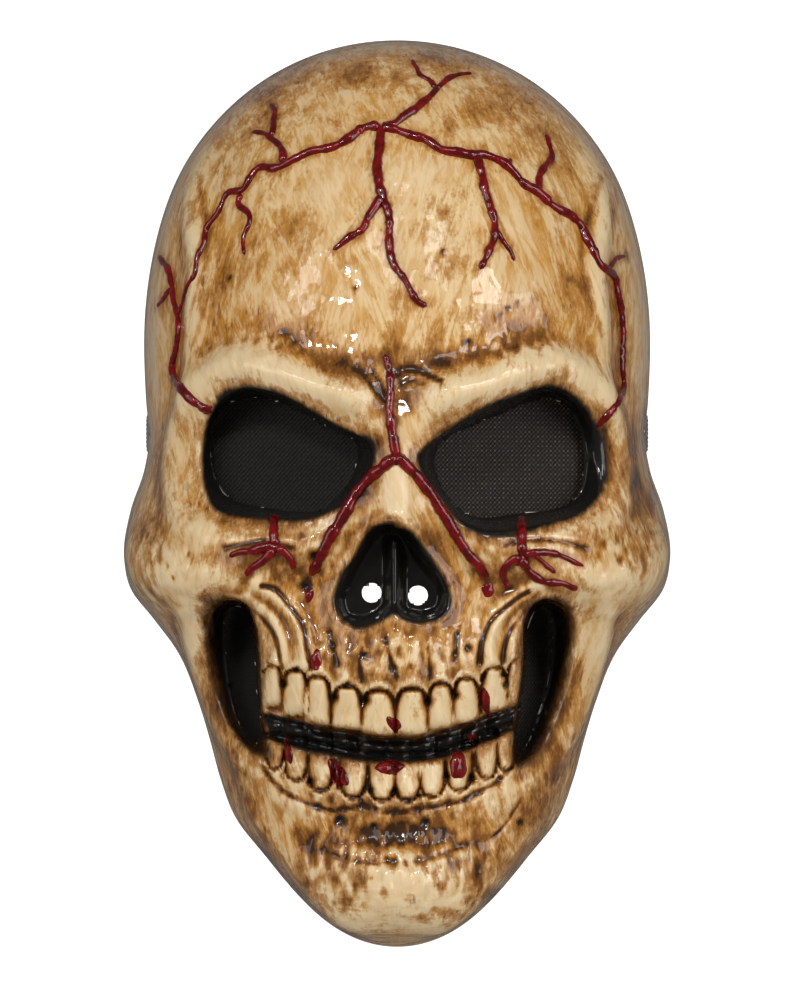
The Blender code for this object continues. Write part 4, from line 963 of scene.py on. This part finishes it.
class Nodes:
    """A short way to build a material: most calls add a node and give back its output."""

    def __init__(self, name):
        self.material = bpy.data.materials.new(name)
        self.material.use_nodes = True
        self.tree = self.material.node_tree
        self.shader = self.tree.nodes["Principled BSDF"]

    def add(self, kind, settings=(), **inputs):
        node = self.tree.nodes.new(kind)
        for key, value in dict(settings).items():
            setattr(node, key, value)
        for key, value in inputs.items():
            self.put(node.inputs[key.replace("_", " ")], value)
        return node

    def put(self, socket, value):
        if isinstance(value, bpy.types.NodeSocket):
            self.tree.links.new(value, socket)
        else:
            socket.default_value = value

    def math(self, operation, *values):
        node = self.add("ShaderNodeMath", {"operation": operation})
        for socket, value in zip(node.inputs, values):
            self.put(socket, value)
        return node.outputs[0]

    def attribute(self, name):
        return self.add("ShaderNodeAttribute", {"attribute_name": name}).outputs["Fac"]

    def place(self, scale, lean=0.0):
        coordinates = self.add("ShaderNodeTexCoord").outputs["Object"]
        if lean:
            settings = {"rotation_type": "Y_AXIS"}
            turned = self.add("ShaderNodeVectorRotate", settings, Vector=coordinates, Angle=lean)
            coordinates = turned.outputs[0]
        return self.add("ShaderNodeMapping", Vector=coordinates, Scale=scale).outputs[0]

    def noise(self, scale, lean=0.0, detail=3.0, roughness=0.6, distortion=0.0):
        values = {"Scale": 1.0, "Detail": detail, "Roughness": roughness, "Distortion": distortion}
        return self.add("ShaderNodeTexNoise", Vector=self.place(scale, lean), **values).outputs["Fac"]

    def step(self, value, low, high, to_low=0.0, to_high=1.0):
        settings = {"interpolation_type": "SMOOTHSTEP"}
        limits = {"From_Min": low, "From_Max": high, "To_Min": to_low, "To_Max": to_high}
        return self.add("ShaderNodeMapRange", settings, Value=value, **limits).outputs[0]

    def mix(self, share, first, second):
        node = self.add("ShaderNodeMix", {"data_type": "RGBA"})
        self.put(node.inputs[0], share)
        for socket, value in ((node.inputs[6], first), (node.inputs[7], second)):
            self.put(socket, (*value, 1) if isinstance(value, tuple) else value)
        return node.outputs[2]

    def blend(self, share, first, second):
        node = self.add("ShaderNodeMix", {"data_type": "FLOAT"})
        for socket, value in zip(node.inputs[:1] + node.inputs[2:4], (share, first, second)):
            self.put(socket, value)
        return node.outputs[0]

    def bump(self, height, distance, strength, target="Normal"):
        node = self.add("ShaderNodeBump", Height=height, Strength=strength, Distance=distance)
        self.put(self.shader.inputs[target], node.outputs[0])

    def set(self, **values):
        for key, value in values.items():
            self.put(self.shader.inputs[key.replace("_", " ")], value)
        return self.material


def bone_material():
    """Cream plastic with brown dry-brushing, a wash in its hollows, black paint and a clear gloss coat, with
    painted highlights on raised places and grey overspray with painted sheen along the rim.
    """
    n = Nodes("painted_bone")
    chin = n.attribute("chin")
    left = n.noise((420, 150, 60), detail=4, roughness=0.62, distortion=0.9, lean=0.38)
    right = n.noise((420, 150, 60), detail=4, roughness=0.62, distortion=0.9, lean=-0.26)
    across = n.noise((80, 160, 460), detail=5, roughness=0.66, distortion=0.8)
    hairs = n.noise((1300, 500, 150), detail=3, roughness=0.6, distortion=0.5, lean=0.15)
    way = n.noise((26, 26, 22), detail=1)
    down = n.blend(n.step(way, 0.44, 0.56), left, right)
    patch = n.noise((34, 34, 28), detail=5, roughness=0.65)
    blotch = n.noise((150, 150, 110), detail=4, roughness=0.7)
    speckle = n.noise((1000, 1000, 800), detail=2, roughness=0.5)
    dash = n.noise((620, 200, 170), detail=2, roughness=0.5)
    brush = n.blend(chin, down, across)
    stroke = n.math("ADD", n.math("MULTIPLY", brush, 0.72), n.math("MULTIPLY", hairs, 0.28))

    # Raised and pale places are lighter: wash rubbed off, and painted highlight.
    rubbed_and_highlight_share = n.attribute("ridge")
    level = n.math("MULTIPLY_ADD", n.attribute("stain"), 0.95, WASH_LEVEL)
    level = n.math("MULTIPLY_ADD", n.attribute("cavity"), 0.95, level)
    level = n.math("MULTIPLY_ADD", rubbed_and_highlight_share, -0.45, level)
    amount = level
    for noise_value, gain in ((stroke, 1.7), (patch, 1.9), (blotch, 1.9), (speckle, 0.5)):
        level = n.math("MULTIPLY_ADD", n.math("SUBTRACT", noise_value, 0.5), gain, level)

    base = n.mix(n.step(n.math("ADD", patch, n.math("MULTIPLY", blotch, 0.5)), 0.63, 0.96), TAN, CREAM)
    base = n.mix(n.math("MULTIPLY", n.step(stroke, 0.58, 0.42), 0.45), base, CREAM_LIGHT)
    base = n.mix(n.math("MULTIPLY", rubbed_and_highlight_share, 0.65), base, CREAM_LIGHT)
    base = n.mix(n.step(level, 0.18, 0.75, 0.0, 0.80), base, OCHRE)
    base = n.mix(n.step(level, 0.65, 1.20, 0.0, 0.88), base, BROWN)
    base = n.mix(n.step(level, 1.15, 1.75, 0.0, 0.92), base, DARK_BROWN)
    dashes = n.math("MULTIPLY", n.step(dash, 0.59, 0.68), n.step(amount, 0.34, 0.80))
    base = n.mix(n.math("MULTIPLY", dashes, 0.8), base, BROWN)

    # The grey band along the rim is grey overspray and painted sheen.
    rim = n.math("MULTIPLY", n.attribute("rim"), n.step(stroke, 0.38, 0.60, 0.90, 0.30))
    base = n.mix(rim, base, GREY_RIM_AND_SHEEN)
    edge = n.math("MULTIPLY_ADD", n.math("SUBTRACT", stroke, 0.5), 0.7, n.attribute("black"))
    ink = n.mix(n.step(blotch, 0.55, 0.72), BLACK_PAINT, WORN_BLACK)
    base = n.mix(n.step(edge, 0.10, 0.92), base, ink)

    height = n.math("ADD", n.math("MULTIPLY", stroke, 0.6), n.math("MULTIPLY", speckle, 0.25))
    n.bump(height, 0.00022, 0.7)
    n.bump(n.noise((150, 150, 110), detail=1.5, roughness=0.5), 0.0011, 0.6, target="Coat Normal")
    n.set(Base_Color=base, Roughness=n.step(stroke, 0.3, 0.7, 0.32, 0.50), Specular_IOR_Level=0.12)
    return n.set(Coat_Weight=0.85, Coat_Roughness=0.06, Coat_IOR=1.45)


def vein_material():
    """Thick glossy blood-red paint, mottled darker and lighter."""
    n = Nodes("blood_paint")
    tone = n.noise((240, 240, 240), detail=3)
    n.set(Base_Color=n.mix(n.step(tone, 0.35, 0.7), BLOOD_DARK, BLOOD_LIGHT))
    n.set(Roughness=n.step(tone, 0.3, 0.7, 0.16, 0.3))
    n.bump(tone, 0.0002, 0.5)
    return n.set(Coat_Weight=0.8, Coat_Roughness=0.04, Specular_IOR_Level=0.15)


def lining_material():
    """The bare back of the moulding: plain off-white plastic, faintly rough, with flow marks."""
    n = Nodes("bare_plastic")
    flow = n.noise((30, 30, 30), detail=5, distortion=0.8)
    grain = n.noise((700, 700, 700), detail=2)
    n.set(Base_Color=n.mix(n.step(flow, 0.3, 0.7), PLASTIC_DARK, PLASTIC_LIGHT))
    n.set(Roughness=n.step(grain, 0.3, 0.7, 0.42, 0.6))
    n.bump(grain, 0.0001, 0.4)
    return n.set(IOR=1.46)


def mesh_material(name, thread_sheen_color):
    """Black knitted mesh: threads painted lighter as sheen, with painted glints, over black pits."""
    n = Nodes(name)
    # Painted glints: bright flecks on the threads.
    painted_glint = n.noise((1300, 1300, 1300), detail=1)
    thread = n.step(n.attribute("thread"), 0.45, 0.95)
    painted_lit = n.math("MULTIPLY", thread, n.step(painted_glint, 0.4, 0.65, 0.35, 1.0))
    n.set(Base_Color=n.mix(painted_lit, MESH_PIT, thread_sheen_color), Roughness=n.step(painted_glint, 0.3, 0.7, 0.5, 0.75))
    return n.set(Specular_IOR_Level=0.25)


def elastic_material():
    """Woven black elastic: ribs with a fine cross weave, their crests painted lighter as sheen."""
    n = Nodes("woven_elastic")
    weave = n.noise((1500, 1500, 1500), detail=2)
    painted_rib_sheen = n.math("MULTIPLY", n.attribute("rib"), n.step(weave, 0.35, 0.7, 0.3, 1.0))
    n.set(Base_Color=n.mix(painted_rib_sheen, ELASTIC_DARK, ELASTIC_RIB_SHEEN))
    n.set(Roughness=n.step(weave, 0.3, 0.7, 0.65, 0.85))
    n.bump(weave, 0.0001, 0.6)
    return n.set(Sheen_Weight=0.3, Sheen_Roughness=0.5)


def steel_material():
    """Plain turned steel."""
    n = Nodes("turned_steel")
    grain = n.noise((400, 1800, 1800), detail=2)
    n.set(Base_Color=n.mix(n.step(grain, 0.3, 0.7), STEEL_DARK, STEEL_LIGHT))
    n.set(Roughness=n.step(grain, 0.3, 0.7, 0.28, 0.45))
    n.bump(grain, 0.00005, 0.5)
    return n.set(Metallic=1.0)


def stage_material():
    """A faintly mottled matt surface for the floor and the wall behind."""
    n = Nodes("pale_backdrop")
    tone = n.noise((2, 2, 2), detail=2)
    darker = tuple(share * 0.985 for share in STAGE_COLOR)
    return n.set(Base_Color=n.mix(n.step(tone, 0.3, 0.7), STAGE_COLOR, darker), Roughness=0.9)


def shell_edge(flat, faces, rows, columns):
    """The cut edges of the outer skin, one wall thick: its points twice over, at the front and behind."""
    border = border_edges(faces)
    points = np.unique(border)
    number = np.zeros(len(flat), int)
    number[points] = np.arange(len(points))
    at_rim = np.zeros((rows, columns), bool)
    at_rim[0] = at_rim[-1] = at_rim[:, 0] = at_rim[:, -1] = True
    at_rim = at_rim.ravel()[points]
    behind = flat[points].copy()
    behind[~at_rim, 1] += WALL
    middle = np.array([0, 0, (CROWN_Z + CHIN_Z) / 2])
    outward = (behind - middle) * (1, 0, 1)
    reach = np.maximum(np.linalg.norm(outward, axis=1, keepdims=True), 1)
    behind -= np.where(at_rim[:, None], outward / reach * WALL, 0)
    first, last = number[border[:, 0]], number[border[:, 1]]
    start, size = len(flat), len(points)
    lips = np.stack([last + start, first + start, first + start + size, last + start + size], axis=1)
    return points, np.concatenate([flat[points], behind]), lips


def inside_any(x, z, outlines):
    """How far each place lies inside the nearest of several outlines drawn by pixel, and below 0 outside."""
    return np.maximum.reduce([inside_outline(x, z, from_pixels(outline)) for outline in outlines])


def front_tree(points):
    """A search tree over points as they are seen from the front."""
    tree = KDTree(len(points))
    for k, (x, _, z) in enumerate(points):
        tree.insert((x, 0, z), k)
    tree.balance()
    return tree


def stain_field(x, z, places):
    """How much brown wash lies on each place: listed patches, and dark edges beside the veins that are stain
    and painted shadow of their relief.
    """
    tree = front_tree(places)
    gap = np.array([tree.find((a, 0, b))[2] for a, b in zip(x.ravel(), z.ravel())]).reshape(x.shape)
    return np.maximum(patches(x, z, STAINS), VEIN_STAIN_AND_SHADOW * np.exp(-((gap / VEIN_STAIN_AND_SHADOW_REACH) ** 2)))


def paint_fields(seen, bulge, places):
    """The numbers that the bone paint reads at each place of the outer skin."""
    x, z = seen[..., 0], seen[..., 2]
    inside = inside_any(x, z, BLACK_AREAS)
    feather = BLACK_FEATHER * smooth_step((inside + BLACK_FEATHER_REACH) / (BLACK_FEATHER_REACH + 0.5))
    black = smooth_step((inside + BLACK_SPREAD) / BLACK_FADE)
    wall = inside_any(x, z, (BLACK_SIDE_LEFT, BLACK_SIDE_RIGHT))
    # On the side recesses' walls the black is thinned: wear, and painted sheen.
    black *= 1 - SIDE_WALL_WEAR_AND_SHEEN * np.exp(-(((wall - SIDE_WALL_MIDDLE) / SIDE_WALL_REACH) ** 2))
    for px, pz, radius, _ in from_pixels(PITS):
        gap = np.hypot(x - px, z - pz) / radius
        black = np.maximum(black, PIT_INK * np.exp(-((gap / PIT_INK_REACH) ** 4)))
        feather = np.maximum(feather, PIT_INK * np.exp(-((gap / PIT_WASH_REACH) ** 2)))
    for half_width, depth, course in FURROWS:
        gap, _ = nearest_on_path(x, z, smooth_path(from_pixels(course)))
        reach = half_width * FURROW_WASH_REACH
        feather = np.maximum(feather, FURROW_WASH * depth * np.exp(-((gap / reach) ** 2)))
    fine, broad = cavity_field(seen, FINE_ROUNDS), cavity_field(seen, BROAD_ROUNDS)
    cavity = 0.7 * np.clip(fine / FINE_HOLLOW, 0, 1) + 0.6 * np.clip(broad / BROAD_HOLLOW, 0, 1)
    # Raised places are lighter where the wash is rubbed off and as painted highlight; the pale patches add
    # painted highlights.
    raised = 0.6 * np.clip(-fine / FINE_RIDGE, 0, 1) + 0.6 * np.clip(-broad / BROAD_RIDGE, 0, 1)
    # The rim band: grey overspray, and painted sheen where the sides turn away.
    rim = 1 - smooth_step((bulge - RIM_START) / RIM_WIDTH)
    return {
        "black": black,
        "cavity": np.clip(cavity, 0, 1),
        "ridge": np.clip(raised + patches(x, z, PALE_AND_HIGHLIGHTS), 0, 1),
        "stain": np.maximum(stain_field(x, z, places), feather),
        "rim": rim * smooth_step((z - RIM_LOW_Z) / RIM_FADE),
        "chin": smooth_step((CHIN_STROKES_Z - z) / CHIN_STROKES_FADE),
    }


def build_shell(seen, hole, bulge, places, paint):
    """The outer skin with its holes, its cut edges and the numbers that its paint reads."""
    rows, columns = hole.shape
    cells = grid_faces(rows, columns)
    kept = cells[hole.ravel()[cells].mean(axis=2) < HOLE_LIMIT]
    flat = from_view(seen).reshape(-1, 3)
    points, edge, lips = shell_edge(flat, kept, rows, columns)
    made, used = add_object("bone_shell", np.concatenate([flat, edge]), [kept, lips], paint)
    for name, values in paint_fields(seen, bulge, places).items():
        flat_values = values.ravel()
        every = np.concatenate([flat_values, flat_values[points], flat_values[points]])
        set_attribute(made, name, every[used])
    return made


def build_lining(seen, paint):
    """The bare back of the moulding, one wall behind the outer skin."""
    x, y, z, bulge = dome(INNER_COLUMNS, INNER_ROWS)
    middle_z = (CROWN_Z + CHIN_Z) / 2
    inset = WALL * (1 - bulge**2) / np.maximum(np.hypot(x, z - middle_z), 1.0)
    x, z = x * (1 - inset), z - (z - middle_z) * inset
    outer = seen.reshape(-1, 3)
    tree = front_tree(outer)
    flat_y = y.ravel()
    for k, (px, pz) in enumerate(zip(x.ravel(), z.ravel())):
        near = tree.find_range((px, 0, pz), WALL)
        if near:
            flat_y[k] = max(outer[i, 1] + math.sqrt(max(WALL**2 - gap**2, 0)) for _, i, gap in near)
    recess = np.maximum.reduce([inside_outline(x, z, row[2]) for row in RECESSES])
    hole = np.full(x.shape, FAR_OUTSIDE)
    for middle in AIR_HOLES:
        x, z, inside = snap(x, z, air_hole(*middle), INNER_SNAP)
        hole = np.maximum(hole, inside)
    back = np.stack([x, flat_y.reshape(x.shape), z], axis=2)
    cells = grid_faces(*x.shape)
    whole = hole.ravel()[cells].mean(axis=2) < HOLE_LIMIT
    whole &= recess.ravel()[cells].max(axis=2) < RECESS_LIMIT
    kept = cells[whole][:, ::-1]
    made, _ = add_object("shell_lining", from_view(back).reshape(-1, 3), [kept], paint)
    return made


def on_shell(front, x, z):
    """The place on the shell seen at x and z in the front view, and the outward direction there."""
    place, normal, _, _ = front.ray_cast(Vector((x, RAY_START_Y, z)), Vector((0, 1, 0)))
    if place is None:
        return None, None
    return np.array(place), np.array(normal) * (1 if normal.y < 0 else -1)


def vein_course(front, start_width, end_width, course):
    """Places, outward directions and widths along one vein, evened out over the bumps under it."""
    path = smooth_path(from_pixels(course), steps=8)
    lengths = run_length(path)
    marks = np.linspace(0, lengths[-1], max(int(lengths[-1] / VEIN_STEP), 6))
    places, normals = [], []
    for x, z in zip(np.interp(marks, lengths, path[:, 0]), np.interp(marks, lengths, path[:, 1])):
        place, normal = on_shell(front, x, z)
        if place is not None:
            places.append(place)
            normals.append(normal)
    places, normals = (evened_out(evened_out(np.array(rows))) for rows in (places, normals))
    widths = np.linspace(start_width, end_width, len(places))
    return places, normals / np.linalg.norm(normals, axis=1, keepdims=True), widths


def vein_tube(places, normals, widths, seed):
    """The rings of one vein: round on top, flatter below, beaded, with rounded ends."""
    along = np.gradient(places, axis=0)
    along /= np.maximum(np.linalg.norm(along, axis=1, keepdims=True), 1e-9)
    side = np.cross(normals, along)
    side /= np.linalg.norm(side, axis=1, keepdims=True)
    up = np.cross(along, side)
    run = run_length(places)
    to_end = np.minimum(run, run[-1] - run)
    from_end = np.clip(to_end / (VEIN_ROUND_END * widths), 0, 1)
    round_end = np.sqrt(np.clip(1 - (1 - from_end) ** 2, 0.02, 1))
    bead, rough, sway = (
        np.array([noise.noise(Vector((s / size, seed, lane))) for s in run]) for size, lane in VEIN_WAVES
    )
    half = VEIN_GROWTH * widths / 2 * round_end
    half *= np.maximum(1 + VEIN_BEAD * bead + VEIN_ROUGHNESS * rough, VEIN_THINNEST)
    centre = places + side * (VEIN_SWAY * sway * smooth_step(to_end / VEIN_STRAIGHT_END))[:, None]
    turn = np.linspace(0, 2 * math.pi, VEIN_SIDES, endpoint=False)
    rise = np.sin(turn) * np.where(np.sin(turn) > 0, 1, VEIN_SINK)
    around = side[:, None] * np.cos(turn)[:, None] + up[:, None] * rise[:, None]
    return centre[:, None] + half[:, None, None] * around


def build_veins(courses, paint):
    """All the veins as one piece."""
    points, faces, caps = [], [], []
    start = 0
    for seed, (places, normals, widths) in enumerate(courses):
        rings = vein_tube(places, normals, widths, seed * VEIN_PLACE_STEP)
        count, sides = rings.shape[:2]
        faces.append(ring_faces(count, sides, start))
        end = start + count * sides
        for first, middle, order in ((start, end, -1), (end - sides, end + 1, 1)):
            ring = first + np.arange(sides)
            caps.append(np.stack([ring, np.roll(ring, -1), np.full(sides, middle)], axis=1)[:, ::order])
        points += [rings.reshape(-1, 3), rings[:1].mean(axis=1), rings[-1:].mean(axis=1)]
        start = end + 2
    made, _ = add_object("blood_veins", from_view(np.concatenate(points)), faces + caps, paint)
    return made


def build_drops(front, paint):
    """The drops and runs of thick paint on the teeth and the cheeks: low domes that follow the shell."""
    points, faces = [], []
    for seed, (cx, cz, rx, rz, lean) in enumerate(from_pixels(DROPS)):
        turn = math.radians(lean)
        faces.append(ring_faces(DROP_RINGS + 1, DROP_SIDES, len(points))[:, TURNED_OVER])
        for ring in np.linspace(0, 1, DROP_RINGS + 1):
            for around in np.linspace(0, 2 * math.pi, DROP_SIDES, endpoint=False):
                across, up = math.cos(around), math.sin(around)
                ragged = 1 + DROP_RAGGED * noise.noise(Vector((across, up, seed * DROP_PLACE_STEP)))
                u = rx * MM_PER_PIXEL * ring * across * ragged
                v = rz * MM_PER_PIXEL * ring * up * ragged
                x = cx + u * math.cos(turn) - v * math.sin(turn)
                z = cz + u * math.sin(turn) + v * math.cos(turn)
                place, normal = on_shell(front, x, z)
                rise = DROP_RISE * math.sqrt(max(1 - ring**2, 0)) - DROP_SINK * ring
                points.append(place + normal * rise * min(rx, rz) * MM_PER_PIXEL / 2)
    made, _ = add_object("blood_drops", from_view(np.array(points)), faces, paint)
    return made


def knit(x, z):
    """How much thread lies at each place of the knitted mesh, 0 in its pits and 1 on its threads."""
    a = np.sin(math.pi * (x + z) / KNIT_PITCH)
    b = np.sin(math.pi * (x - z) / KNIT_PITCH)
    return np.clip(1 - KNIT_GAP * np.minimum(np.abs(a), np.abs(b)), 0, 1)


def build_mesh_panel(name, node, hole, floor, slope, paint):
    """One piece of knitted mesh, stretched flat across the back of its opening."""
    corners = np.array([v.co for v in bpy.data.objects[node].data.vertices]) / MM
    behind = (corners[:, 1] - slope * np.abs(corners[:, 0])).min() + PANEL_THICKNESS / 2
    edge = real_outline(hole, lambda x: floor + slope * np.abs(x))
    outline = grown(edge[:, (0, 2)], PANEL_OVERLAP)
    low, high = outline.min(axis=0), outline.max(axis=0)
    stretch = math.hypot(1, slope)
    steps = (KNIT_CELL / stretch, KNIT_CELL)
    x, z = np.meshgrid(*(np.arange(a, b + step, step) for a, b, step in zip(low, high, steps)))
    x, z, inside = snap(x, z, outline, KNIT_CELL * EDGE_SNAP)
    cells = grid_faces(*x.shape)
    kept = cells[inside.ravel()[cells].min(axis=2) >= 0]
    thread = knit(x * stretch, z)
    y = behind + slope * np.abs(x) - KNIT_RELIEF * thread
    points = np.stack([x, y, z], axis=2).reshape(-1, 3)
    made, used = add_object(name, points, [kept], paint)
    set_attribute(made, "thread", thread.ravel()[used])
    return made


def build_strap(paint):
    """The woven elastic strap: lengthwise ribs crossed by a fine weave, on the strap's own course."""
    right = smooth_path(STRAP_COURSE, steps=12)
    course = np.concatenate([right, right[-2::-1] * (-1, 1)])
    lengths = run_length(course)
    marks = np.linspace(0, lengths[-1], int(lengths[-1] / STRAP_STEP))
    path = np.stack([np.interp(marks, lengths, course[:, k]) for k in (0, 1)], axis=1)
    along = np.gradient(path, axis=0)
    along /= np.linalg.norm(along, axis=1, keepdims=True)
    outward = np.stack([along[:, 1], -along[:, 0]], axis=1)
    across = np.linspace(-1, 1, STRAP_RIBS * 4 + 1)
    rib = np.abs(np.cos(math.pi * STRAP_RIBS * (across + 1) / 2 + math.pi / 2))
    edge = np.sqrt(1 - across**8)
    half = (STRAP_THICKNESS / 2 - STRAP_RELIEF + STRAP_RELIEF * rib) * edge
    round_across = np.concatenate([across, across[-2:0:-1]])
    ribs = np.concatenate([rib, rib[-2:0:-1]])
    row = np.floor((round_across + 1) * STRAP_RIBS / 2)
    weave = np.cos(2 * math.pi * marks[:, None] / STRAP_WEAVE + math.pi * row)
    offset = np.concatenate([half, -half[-2:0:-1]]) * (1 + STRAP_WEAVE_RELIEF * weave)
    x, y = (path[:, k, None] + outward[:, k, None] * offset for k in (0, 1))
    points = np.stack([x, y, np.broadcast_to(round_across * STRAP_WIDTH / 2, offset.shape)], axis=2)
    ends = np.arange(offset.size).reshape(offset.shape)[[0, -1]]
    faces = [ring_faces(*offset.shape)[:, TURNED_OVER], ends[:1], ends[1:, ::-1]]
    made, used = add_object("elastic_strap", points.reshape(-1, 3), faces, paint)
    # The ribs' crests are painted lighter as sheen.
    rib_sheen = np.clip(ribs * (0.6 + 0.4 * weave), 0, 1)
    set_attribute(made, "rib", rib_sheen.ravel()[used])
    return made


def build_rivet(node, side, paint):
    """One turned rivet: a rounded head inside the strap and a shaft that ends flush with the shell."""
    low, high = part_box(node)
    inner = min(abs(low.x), abs(high.x)) / MM
    outer = max(abs(low.x), abs(high.x)) / MM
    profile = [(radius, inner + depth) for radius, depth in RIVET_HEAD]
    profile += [(RIVET_RADIUS, inner + RIVET_HEAD_THICKNESS), (RIVET_RADIUS, outer - 0.25)]
    profile += [(RIVET_RADIUS * 0.85, outer - 0.05), (0.0, outer)]
    turn = np.linspace(0, 2 * math.pi, RIVET_SIDES, endpoint=False)
    points = [
        (x * side, RIVET_Y + radius * math.cos(a), radius * math.sin(a) * side)
        for radius, x in profile for a in turn
    ]
    faces = [ring_faces(len(profile), RIVET_SIDES)]
    made, _ = add_object(node + "_turned", np.array(points), faces, paint)
    return made


def area_light(name, place, aim, size, watts, color):
    """A soft square lamp aimed at a point."""
    data = bpy.data.lights.new(name, "AREA")
    data.size, data.energy, data.color = size, watts, color
    made = bpy.data.objects.new(name, data)
    made.location = place
    made.rotation_euler = (Vector(aim) - Vector(place)).to_track_quat("-Z", "Y").to_euler()
    bpy.context.scene.collection.objects.link(made)


def build_stage():
    """A pale floor that curves up into a pale wall."""
    turn = np.linspace(0, math.pi / 2, 13)
    bend = [(WALL_Y - BEND * (1 - math.sin(a)), FLOOR_Z + BEND * (1 - math.cos(a))) for a in turn]
    profile = [(-STAGE_REACH, FLOOR_Z)] + bend + [(WALL_Y, FLOOR_Z + STAGE_REACH)]
    points = [(x, y, z) for y, z in profile for x in (-STAGE_REACH, STAGE_REACH)]
    faces = np.array([(2 * k, 2 * k + 1, 2 * k + 3, 2 * k + 2) for k in range(len(profile) - 1)])
    made, _ = add_object("backdrop", np.array(points) / MM, [faces], stage_material())
    made.visible_glossy = False


def build_lights():
    """Soft studio lamps in front, to both sides and above, and a pale surrounding."""
    for row in LAMPS:
        area_light(*row)
    world = bpy.data.worlds.new("pale_room")
    world.use_nodes = True
    background = world.node_tree.nodes["Background"]
    background.inputs["Color"].default_value = (1, 1, 1, 1)
    background.inputs["Strength"].default_value = WORLD_STRENGTH
    bpy.context.scene.world = world


def build_camera():
    """A camera straight in front, level with the middle of the picture."""
    data = bpy.data.cameras.new("photo_camera")
    data.sensor_fit = "VERTICAL"
    data.sensor_height = SENSOR_HEIGHT
    data.lens = SENSOR_HEIGHT / (IMAGE_HEIGHT * MM_PER_PIXEL / VIEW_DISTANCE)
    made = bpy.data.objects.new("photo_camera", data)
    made.location = (CAMERA_X, (VIEW_PLANE_Y - VIEW_DISTANCE) * MM, VIEW_Z * MM)
    made.rotation_euler = (math.pi / 2, 0, 0)
    bpy.context.scene.collection.objects.link(made)
    bpy.context.scene.camera = made


def build():
    """The whole dressed mask on its stage."""
    bpy.context.scene.view_settings.view_transform = "Standard"
    seen, hole, bulge = dressed_grid(SHELL_COLUMNS, SHELL_ROWS)
    cells = grid_faces(*hole.shape).reshape(-1, 4)
    front = BVHTree.FromPolygons([Vector(p) for p in seen.reshape(-1, 3)], cells.tolist())
    courses = [vein_course(front, *row) for row in VEINS]
    places = np.concatenate([course[0] for course in courses])
    blood = vein_material()
    shell_parts = [
        build_shell(seen, hole, bulge, places, bone_material()), build_lining(seen, lining_material()),
        build_veins(courses, blood), build_drops(front, blood),
    ]
    for made in shell_parts:
        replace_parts(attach(made, "root"), "mask_shell")
    # Painted light: the right eye's mesh gets the lighter thread sheen, as if lit; the others the dimmer
    # one, as if in shade.
    painted_dim, painted_lit = mesh_material("painted_dim_mesh", PAINTED_DIM_THREAD), mesh_material("painted_lit_mesh", PAINTED_LIT_THREAD)
    for node, _, outline, floor, slope in RECESSES:
        knitted = painted_lit if node == "eye_mesh_right" else painted_dim
        made = build_mesh_panel(node + "_knit", node, outline, floor, slope, knitted)
        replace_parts(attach(made, "root"), node)
    strap = build_strap(elastic_material())
    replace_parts(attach(strap, "root"), "head_strap")
    steel = steel_material()
    for node, side in (("strap_rivet_left", -1), ("strap_rivet_right", 1)):
        made = build_rivet(node, side, steel)
        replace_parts(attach(made, "root"), node)
    build_stage()
    build_lights()
    build_camera()


build()
